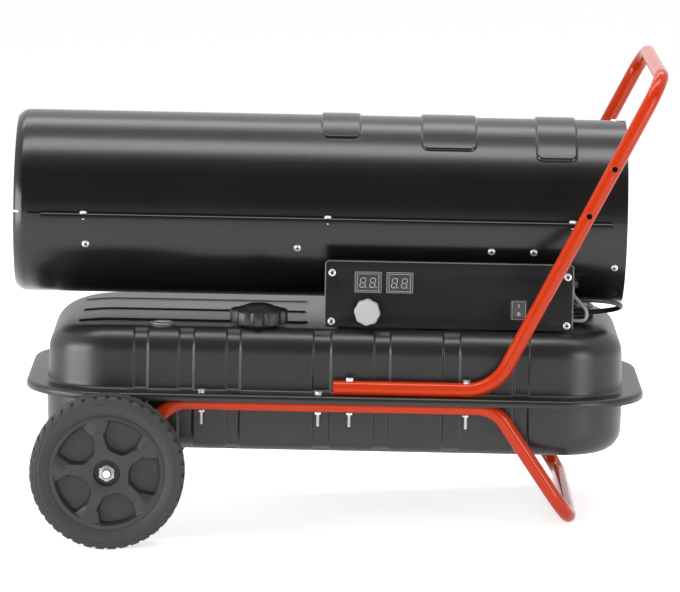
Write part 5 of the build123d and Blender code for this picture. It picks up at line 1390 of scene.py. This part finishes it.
def makeDisplays():
    halfWidth, halfHeight, proud = boxSet["display"]
    windowWidth, windowHeight, windowZ = boxSet["window"]
    lean = tan(radians(boxSet["slant"]))
    slanted, level = Vector((lean, 0, 1)).normalized(), Vector((1, 0, 0))
    strokes, dots = [], []
    for node, x, z in boxSet["displays"]:
        w, h = halfWidth, halfHeight
        rings = [roundedBox(w - 0.8, h - 0.8, 0.8, -12), roundedBox(w - 0.8, h - 0.8, 0.8, 0.05),
                 roundedBox(w, h, 1.2, 0.05), roundedBox(w, h, 1.2, 0.4),
                 roundedBox(w - 0.3, h - 0.3, 1.1, 0.7),
                 roundedBox(w - 1.2, h - 1.2, 0.9, 0.8), roundedBox(w - 1.4, h - 1.4, 0.8, 1.35),
                 roundedBox(w - 1.8, h - 1.8, 0.7, proud),
                 roundedBox(windowWidth + 0.6, windowHeight + 0.6, 0.5, proud),
                 roundedBox(windowWidth, windowHeight, 0.4, 1.2),
                 roundedBox(windowWidth, windowHeight, 0.4, windowZ - 0.4)]
        bezel = onPanel(solidPiece(node + "Bezel", loft(rings)), x, z)
        settle(bezel, "bezelBlack", stands=(node,), smoothAngle=30)
        # the lighter rim and inner frame of each bezel are painted highlights on its edges
        highlightFrame(node + "Rim", w - 0.25, h - 0.25, 1.1, 0.7, 0.5, 0.85, x, z)
        highlightFrame(node + "Inner", windowWidth + 1.3, windowHeight + 1.3, 0.8, 0.75, proud - 0.2, proud + 0.08,
                  x, z)
        pane = [roundedBox(windowWidth - 0.02, windowHeight - 0.02, 0.4,
                           low) for low in (windowZ - 0.5, windowZ)]
        settle(onPanel(solidPiece(node + "Window", loft(pane)), x, z), "display", body="root")
        dx, dz = boxSet["digit"]
        for middle in boxSet["digitX"]:
            cx, cz = x + middle, z - 0.6
            y = boxSet["panelY"] - windowZ
            strokes += [((cx + lean * h, y, cz + h), (0, -1, 0), level) for h in (-dz, 0, dz)]
            strokes += [((cx + side * dx + lean * h, y, cz + h), (0, -1, 0), slanted)
                        for side in (-1, 1) for h in (-dz / 2, dz / 2)]
            dots.append(((cx + dx + 2.0 - lean * dz, y, cz - dz), (0, -1, 0), level))
    strewn("displayStrokes", strokeShape(), strokes, "segmentGrey", body="root")
    dot = solidPiece("dotShape", lathe([(0, -0.1), (0.75, -0.1), (0.75, 0.14), (0, 0.14)], 12))
    strewn("displayDots", dot, dots, "segmentGrey", body="root")


def makeKnob():
    x, z, radius, lobe, lobes, height = boxSet["knob"]
    steps = lobes * 16
    turns = [2 * pi * s / steps for s in range(steps)]
    first = radians(boxSet["knobTurn"])
    rings = []
    for share, drop, level in (   # share of the radius, share of the lobes' height, height above the panel
            (0.5, 1.0, 1.0), (0.94, 1.0, 1.0), (0.985, 1.0, 1.5), (1.0, 1.0, 3.0), (0.985, 1.0, height - 1.4),
            (0.968, 1.0, height - 0.5), (0.935, 1.0, height + 0.35), (0.885, 0.95, height + 0.85),
            (0.83, 0.9, height + 1.0), (0.6, 0.4, height + 0.95), (0.3, 0.1, height + 0.92),
            (0.02, 0.0, height + 0.9)):
        reach = [(radius + drop * lobe * cos(lobes * (a - first))) * share for a in turns]
        rings.append([(r * cos(a), r * sin(a), level) for r, a in zip(reach, turns)])
    settle(onPanel(solidPiece("knob", loft(rings)), x, z), "knobGrey", stands=("thermostat_knob",),
           smoothAngle=40)


def makeSwitch():
    x, z = boxSet["rocker"]
    w, h = boxSet["switch"]
    rings = [roundedBox(w - 1.0, h - 1.0, 0.8, -16), roundedBox(w - 1.0, h - 1.0, 0.8, 0.05),
             roundedBox(w, h, 1.6, 0.05),
             roundedBox(w, h, 1.6, 0.5), roundedBox(w - 0.5, h - 0.5, 1.4, 0.95),
             roundedBox(w - 1.1, h - 0.95, 1.0, 1.0),
             roundedBox(w - 1.3, h - 1.1, 0.9, 1.8), roundedBox(w - 1.6, h - 1.4, 0.8, 2.0),
             roundedBox(w - 2.5, h - 2.1, 0.6, 2.0), roundedBox(w - 2.85, h - 2.4, 0.5, 1.6),
             roundedBox(w - 2.85, h - 2.4, 0.5, -14), roundedBox(w - 2.2, h - 2.0, 0.5, -16)]
    piece = onPanel(solidPiece("switchFrame", loft(rings, closed=True)), x, z)
    settle(piece, "switchPlastic", stands=("switch_frame",), smoothAngle=30)
    # the lighter rims of the switch frame are painted highlights on its edges
    highlightFrame("switchRim", w - 0.1, h - 0.1, 1.5, 0.6, 0.3, 0.62, x, z)
    highlightFrame("switchInner", w - 1.65, h - 1.45, 0.8, 0.85, 1.8, 2.1, x, z)
    dressCad("rocker", "rockerGrey", bevel=0.45, segments=3)
    # the marks for on and off lie on the two slopes of the rocker, which is tipped by 10 degrees at rest
    tilt = -radians(10)
    for name, along, shape in (("onMark", 5.2, block(0, 0, 0, 0.9, 4.2, 0.3)),
                               ("offMark", -5.2, lathe([(1.3, -0.15), (2.0, -0.15), (2.0, 0.15), (1.3, 0.15),
                                                        (1.3, -0.15)], 28))):
        rise = 3.6 + 0.09 * abs(along) + 0.06
        slope = radians(5.14) * (1 if along > 0 else -1)
        y = -rise * cos(tilt) - along * sin(tilt)
        up = -rise * sin(tilt) + along * cos(tilt)
        lean = tilt + slope
        piece = solidPiece(name, shape)
        stand(piece, (x, -134.0 + y, z + up), (0, -cos(lean), -sin(lean)), (1, 0, 0))
        settle(piece, "markWhite", body=bodyOf["rocker"])


dressCad("control_panel", "boxPaint", bevel=0.9, segments=3)
# the hem along the panel's front edges is a lighter copy of the box paint: a painted highlight on the rounded
# edge
hem = [(276.5, -134.4, 182.0), (276.5, -134.4, 266.0), (598.5, -134.4, 266.0), (598.5, -134.4, 182.0)]
settle(sweep("panelHem", roundedRoute(hem, (4.5, 4.5)), 0.9, 12), "hemPaint", body="root", smoothAngle=60)
dressCad("control_box", "boxPaint", bevel=0.4)
makeDisplays()
makeKnob()
makeSwitch()
print("control box ready")

# ---- fuel cap and gauge

capSet = {
    "place": (190.5, -115.0, 180.0),
    "radius": 38.0,
    "lobes": 10,
    "scallop": (42.0, 8.0),       # how far out the scallops' middles are, and their radius
    "height": 17.6,
    "cone": 6.7,
    "crown": 13.6,
    "hollow": 25.0,
}


def makeCap():
    reach, round = capSet["scallop"]
    steps = capSet["lobes"] * 20
    turns = [2 * pi * s / steps for s in range(steps)]
    pitch = 2 * pi / capSet["lobes"]

    def edge(angle):
        off = (angle + pitch / 2) % pitch - pitch / 2
        inside = round ** 2 - (reach * sin(off)) ** 2
        dent = capSet["radius"] - (reach * cos(off) - sqrt(inside)) if inside > 0 else 0.0
        return max(0.0, dent)

    top = capSet["height"]
    profile = [(26.0, 0.0, 0.3), (36.0, 0.0, 1.0), (37.4, 0.5, 1.0), (38.0, 1.6, 1.0), (38.0, top - 1.8, 1.0),
               (37.5, top - 0.7, 1.0), (36.4, top - 0.1, 1.0), (34.5, top + 0.3, 0.9),
               (31.0, top + 1.0, 0.72),
               (27.0, top + 1.9, 0.5), (23.0, top + 3.1, 0.3), (19.5, top + 4.6, 0.12),
               (16.0, top + 6.1, 0.0),
               (capSet["crown"], top + capSet["cone"], 0.0), (0.0, top + capSet["cone"], 0.0)]
    rings = [[((r - edge(a) * share) * cos(a), (r - edge(a) * share) * sin(a), z) for a in turns]
             for r, z, share in profile]
    hollow = [[(r * cos(a), r * sin(a), z) for a in turns] for r,
              z in ((capSet["hollow"], 0.0), (capSet["hollow"], 10.0),
                                                                       (0.0, 10.0))]
    piece = solidPiece("fuelCap", loft(list(reversed(hollow)) + rings, capped=False))
    stand(piece, capSet["place"])
    settle(piece, "capPlastic", stands=("fuel_cap",), smoothAngle=32)


gaugeSet = {"place": (65.0, -130.0, 177.0), "radius": 17.5, "window": 13.5, "height": 3.0, "floor": 0.3,
            "ring": 0.7,
            "marks": 9}


def makeGauge():
    g = gaugeSet
    r, window = g["radius"], g["window"]
    top = g["height"]
    case = [(0, -2.0), (r - 1.0, -2.0), (r - 1.0, 0.05), (r, 0.05), (r, 0.5), (r - 0.4, 1.3),
            (r - 1.4, top - 0.6),
            (r - 2.6, top - 0.1), (window + 0.5, top), (window + 0.1, top - 0.3), (window, top - 0.8),
            (window, g["floor"]),
            (0, g["floor"])]
    settle(stand(solidPiece("gaugeCase", lathe(case, 72)), g["place"]), "gaugeFace", stands=("gauge_case",),
           smoothAngle=30)
    size, middle = g["ring"], window + 1.3
    ring = [(middle + size * cos(radians(a)), top - 0.2 + size * sin(radians(a))) for a in range(0, 360, 40)]
    settle(stand(solidPiece("gaugeRing", lathe(ring + ring[:1], 72)), g["place"]), "gaugeRim", body="root",
           smoothAngle=60)
    dial = stand(solidPiece("gaugeDial", lathe([(0, 0.3), (window - 0.1, 0.3), (window - 0.1, 0.42),
                                                (0, 0.42)], 60)), g["place"])
    settle(dial, "gaugeFace", body="root")
    ticks = []
    for k in range(g["marks"]):
        angle = radians(160 * k / (g["marks"] - 1) + 10)
        out = Vector((cos(angle), sin(angle), 0))
        ticks.append((Vector(g["place"]) + out * (window - 2.2) + Vector((0, 0, 0.45)), (0, 0, 1), out))
    shape = solidPiece("tickShape", block(0, 0, 0, 2.4, 0.6, 0.16))
    strewn("gaugeMarks", shape, ticks, "markWhite", body="root")
    dressCad("gauge_pointer", "pointerRed", bevel=0.1)
    glass = [(0, top - 0.8), (window - 0.05, top - 0.8), (window - 0.05, top - 0.4),
             (window - 2.0, top - 0.2),
             (window * 0.5, top - 0.05), (0, top)]
    lens = stand(solidPiece("gaugeLens", lathe(glass, 60)), g["place"])
    settle(lens, "gaugeGlass", stands=("gauge_lens",), smoothAngle=30)


makeCap()
makeGauge()
dressCad("float_arm", "blackPlastic", bevel=0.3)
print("cap and gauge ready")

# ---- intake guard

guardSet = {
    "place": (664.6, 0, 320.0),
    "Rings": 6,
    "First Radius": 16.0,
    "Pitch": 17.0,
    "Wire": 1.4,
    "Spokes": 6,
    "Spoke Start": 12.0,
    "Spoke End": 117.6,
    "Spoke Wire": 1.6,
    "Behind": 1.9,
    "band": (117.0, 118.4, 5.0),   # inner and outer radius, half length
    "bandPlace": (661.6, 0, 320.0),
}


def makeGuardTree():
    numbers = [(name, "Int" if isinstance(value, int) else "Float") for name, value in guardSet.items()
               if isinstance(value, (int, float))]
    tree, given = makeTree("wireGuard", [("Geometry", "Geometry"), *numbers, ("Finish", "Material")])

    def sums(operation, first, second):
        return addNode(tree, "ShaderNodeMath", {0: first, 1: second}, operation=operation).outputs[0]

    def wires(count, curve, wire, **more):
        spots = addNode(tree, "GeometryNodePoints", {"Count": count})
        spread = addNode(tree, "GeometryNodeInstanceOnPoints",
                         {"Points": spots.outputs[0], "Instance": curve, **more})
        real = addNode(tree, "GeometryNodeRealizeInstances", {0: spread.outputs[0]})
        section = addNode(tree, "GeometryNodeCurvePrimitiveCircle", {"Resolution": 10, "Radius": wire})
        return addNode(tree, "GeometryNodeCurveToMesh", {
            "Fill Caps": True, "Curve": real.outputs[0], "Profile Curve": section.outputs[0]}).outputs[0]

    number = addNode(tree, "GeometryNodeInputIndex").outputs[0]
    circle = addNode(tree, "GeometryNodeCurvePrimitiveCircle", {"Resolution": 72, "Radius": 1.0})
    size = sums("ADD", given["First Radius"], sums("MULTIPLY", given["Pitch"], number))
    rings = wires(given["Rings"], circle.outputs[0], given["Wire"], Scale=size)
    behind = sums("MULTIPLY", given["Behind"], -1.0)
    start, end = (addNode(tree, "ShaderNodeCombineXYZ", {0: given[name], 2: behind})
                  for name in ("Spoke Start", "Spoke End"))
    spoke = addNode(tree, "GeometryNodeCurvePrimitiveLine",
                    {"Start": start.outputs[0], "End": end.outputs[0]})
    share = sums("DIVIDE", sums("ADD", number, 0.5), given["Spokes"])
    turn = addNode(tree, "ShaderNodeCombineXYZ", {2: sums("MULTIPLY", share, 2 * pi)})
    spokes = wires(given["Spokes"], spoke.outputs[0], given["Spoke Wire"], Rotation=turn.outputs[0])
    both = addNode(tree, "GeometryNodeJoinGeometry", {0: rings})
    tree.links.new(spokes, both.inputs[0])
    return endTree(tree, both.outputs[0], given["Finish"])


def makeGuard():
    holder = makeObject("intakeGuard", bpy.data.meshes.new("intakeGuard"))
    piece = grown(holder, makeGuardTree(), {**guardSet, "Finish": finishes["zinc"]})
    stand(piece, guardSet["place"], (1, 0, 0), (0, 1, 0))
    settle(piece, "zinc", stands=("intake_guard",), smoothAngle=50)
    inner, outer, half = guardSet["band"]
    band = lathe([(inner, -half), (outer - 0.2, -half), (outer, -half + 0.2), (outer, half - 0.2),
                  (outer - 0.2, half),
                  (inner, half), (inner, -half)], 120)
    piece = stand(solidPiece("guardBand", band), guardSet["bandPlace"], (1, 0, 0), (0, 1, 0))
    settle(piece, "zinc", body="root")


makeGuard()
print("intake guard ready")

# ---- the pieces inside, and the rest of the small fittings

edgeOf = {"fan": 0.4, "motor_housing": 0.5, "motor_bracket": 0.3, "combustion_chamber": 0.25,
          "flame_disc": 0.25,
          "burner_head": 0.4, "barrel_saddles": 0.3, "drain_plug": 0.4,
          "air_pump": 0.4, "pump_filter_cover": 0.5, "cap_liner": 0.3}

plainFinish = {row[1]: row[0] for row in reversed(finishSet)}
dressCad("fuel_fittings", "fittingSteel", bevel=0.25)
dressCad("filler_neck", "capPlastic", bevel=0.3)
stoodFor = {node for thing in bpy.data.objects for node in thing.get("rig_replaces", [])}
for part in frame["record"]["subparts"]:
    if part["node"] not in stoodFor:
        dressCad(part["node"], plainFinish[part["material_slot"]], bevel=edgeOf.get(part["node"], 0.2))
print("remaining nodes dressed")
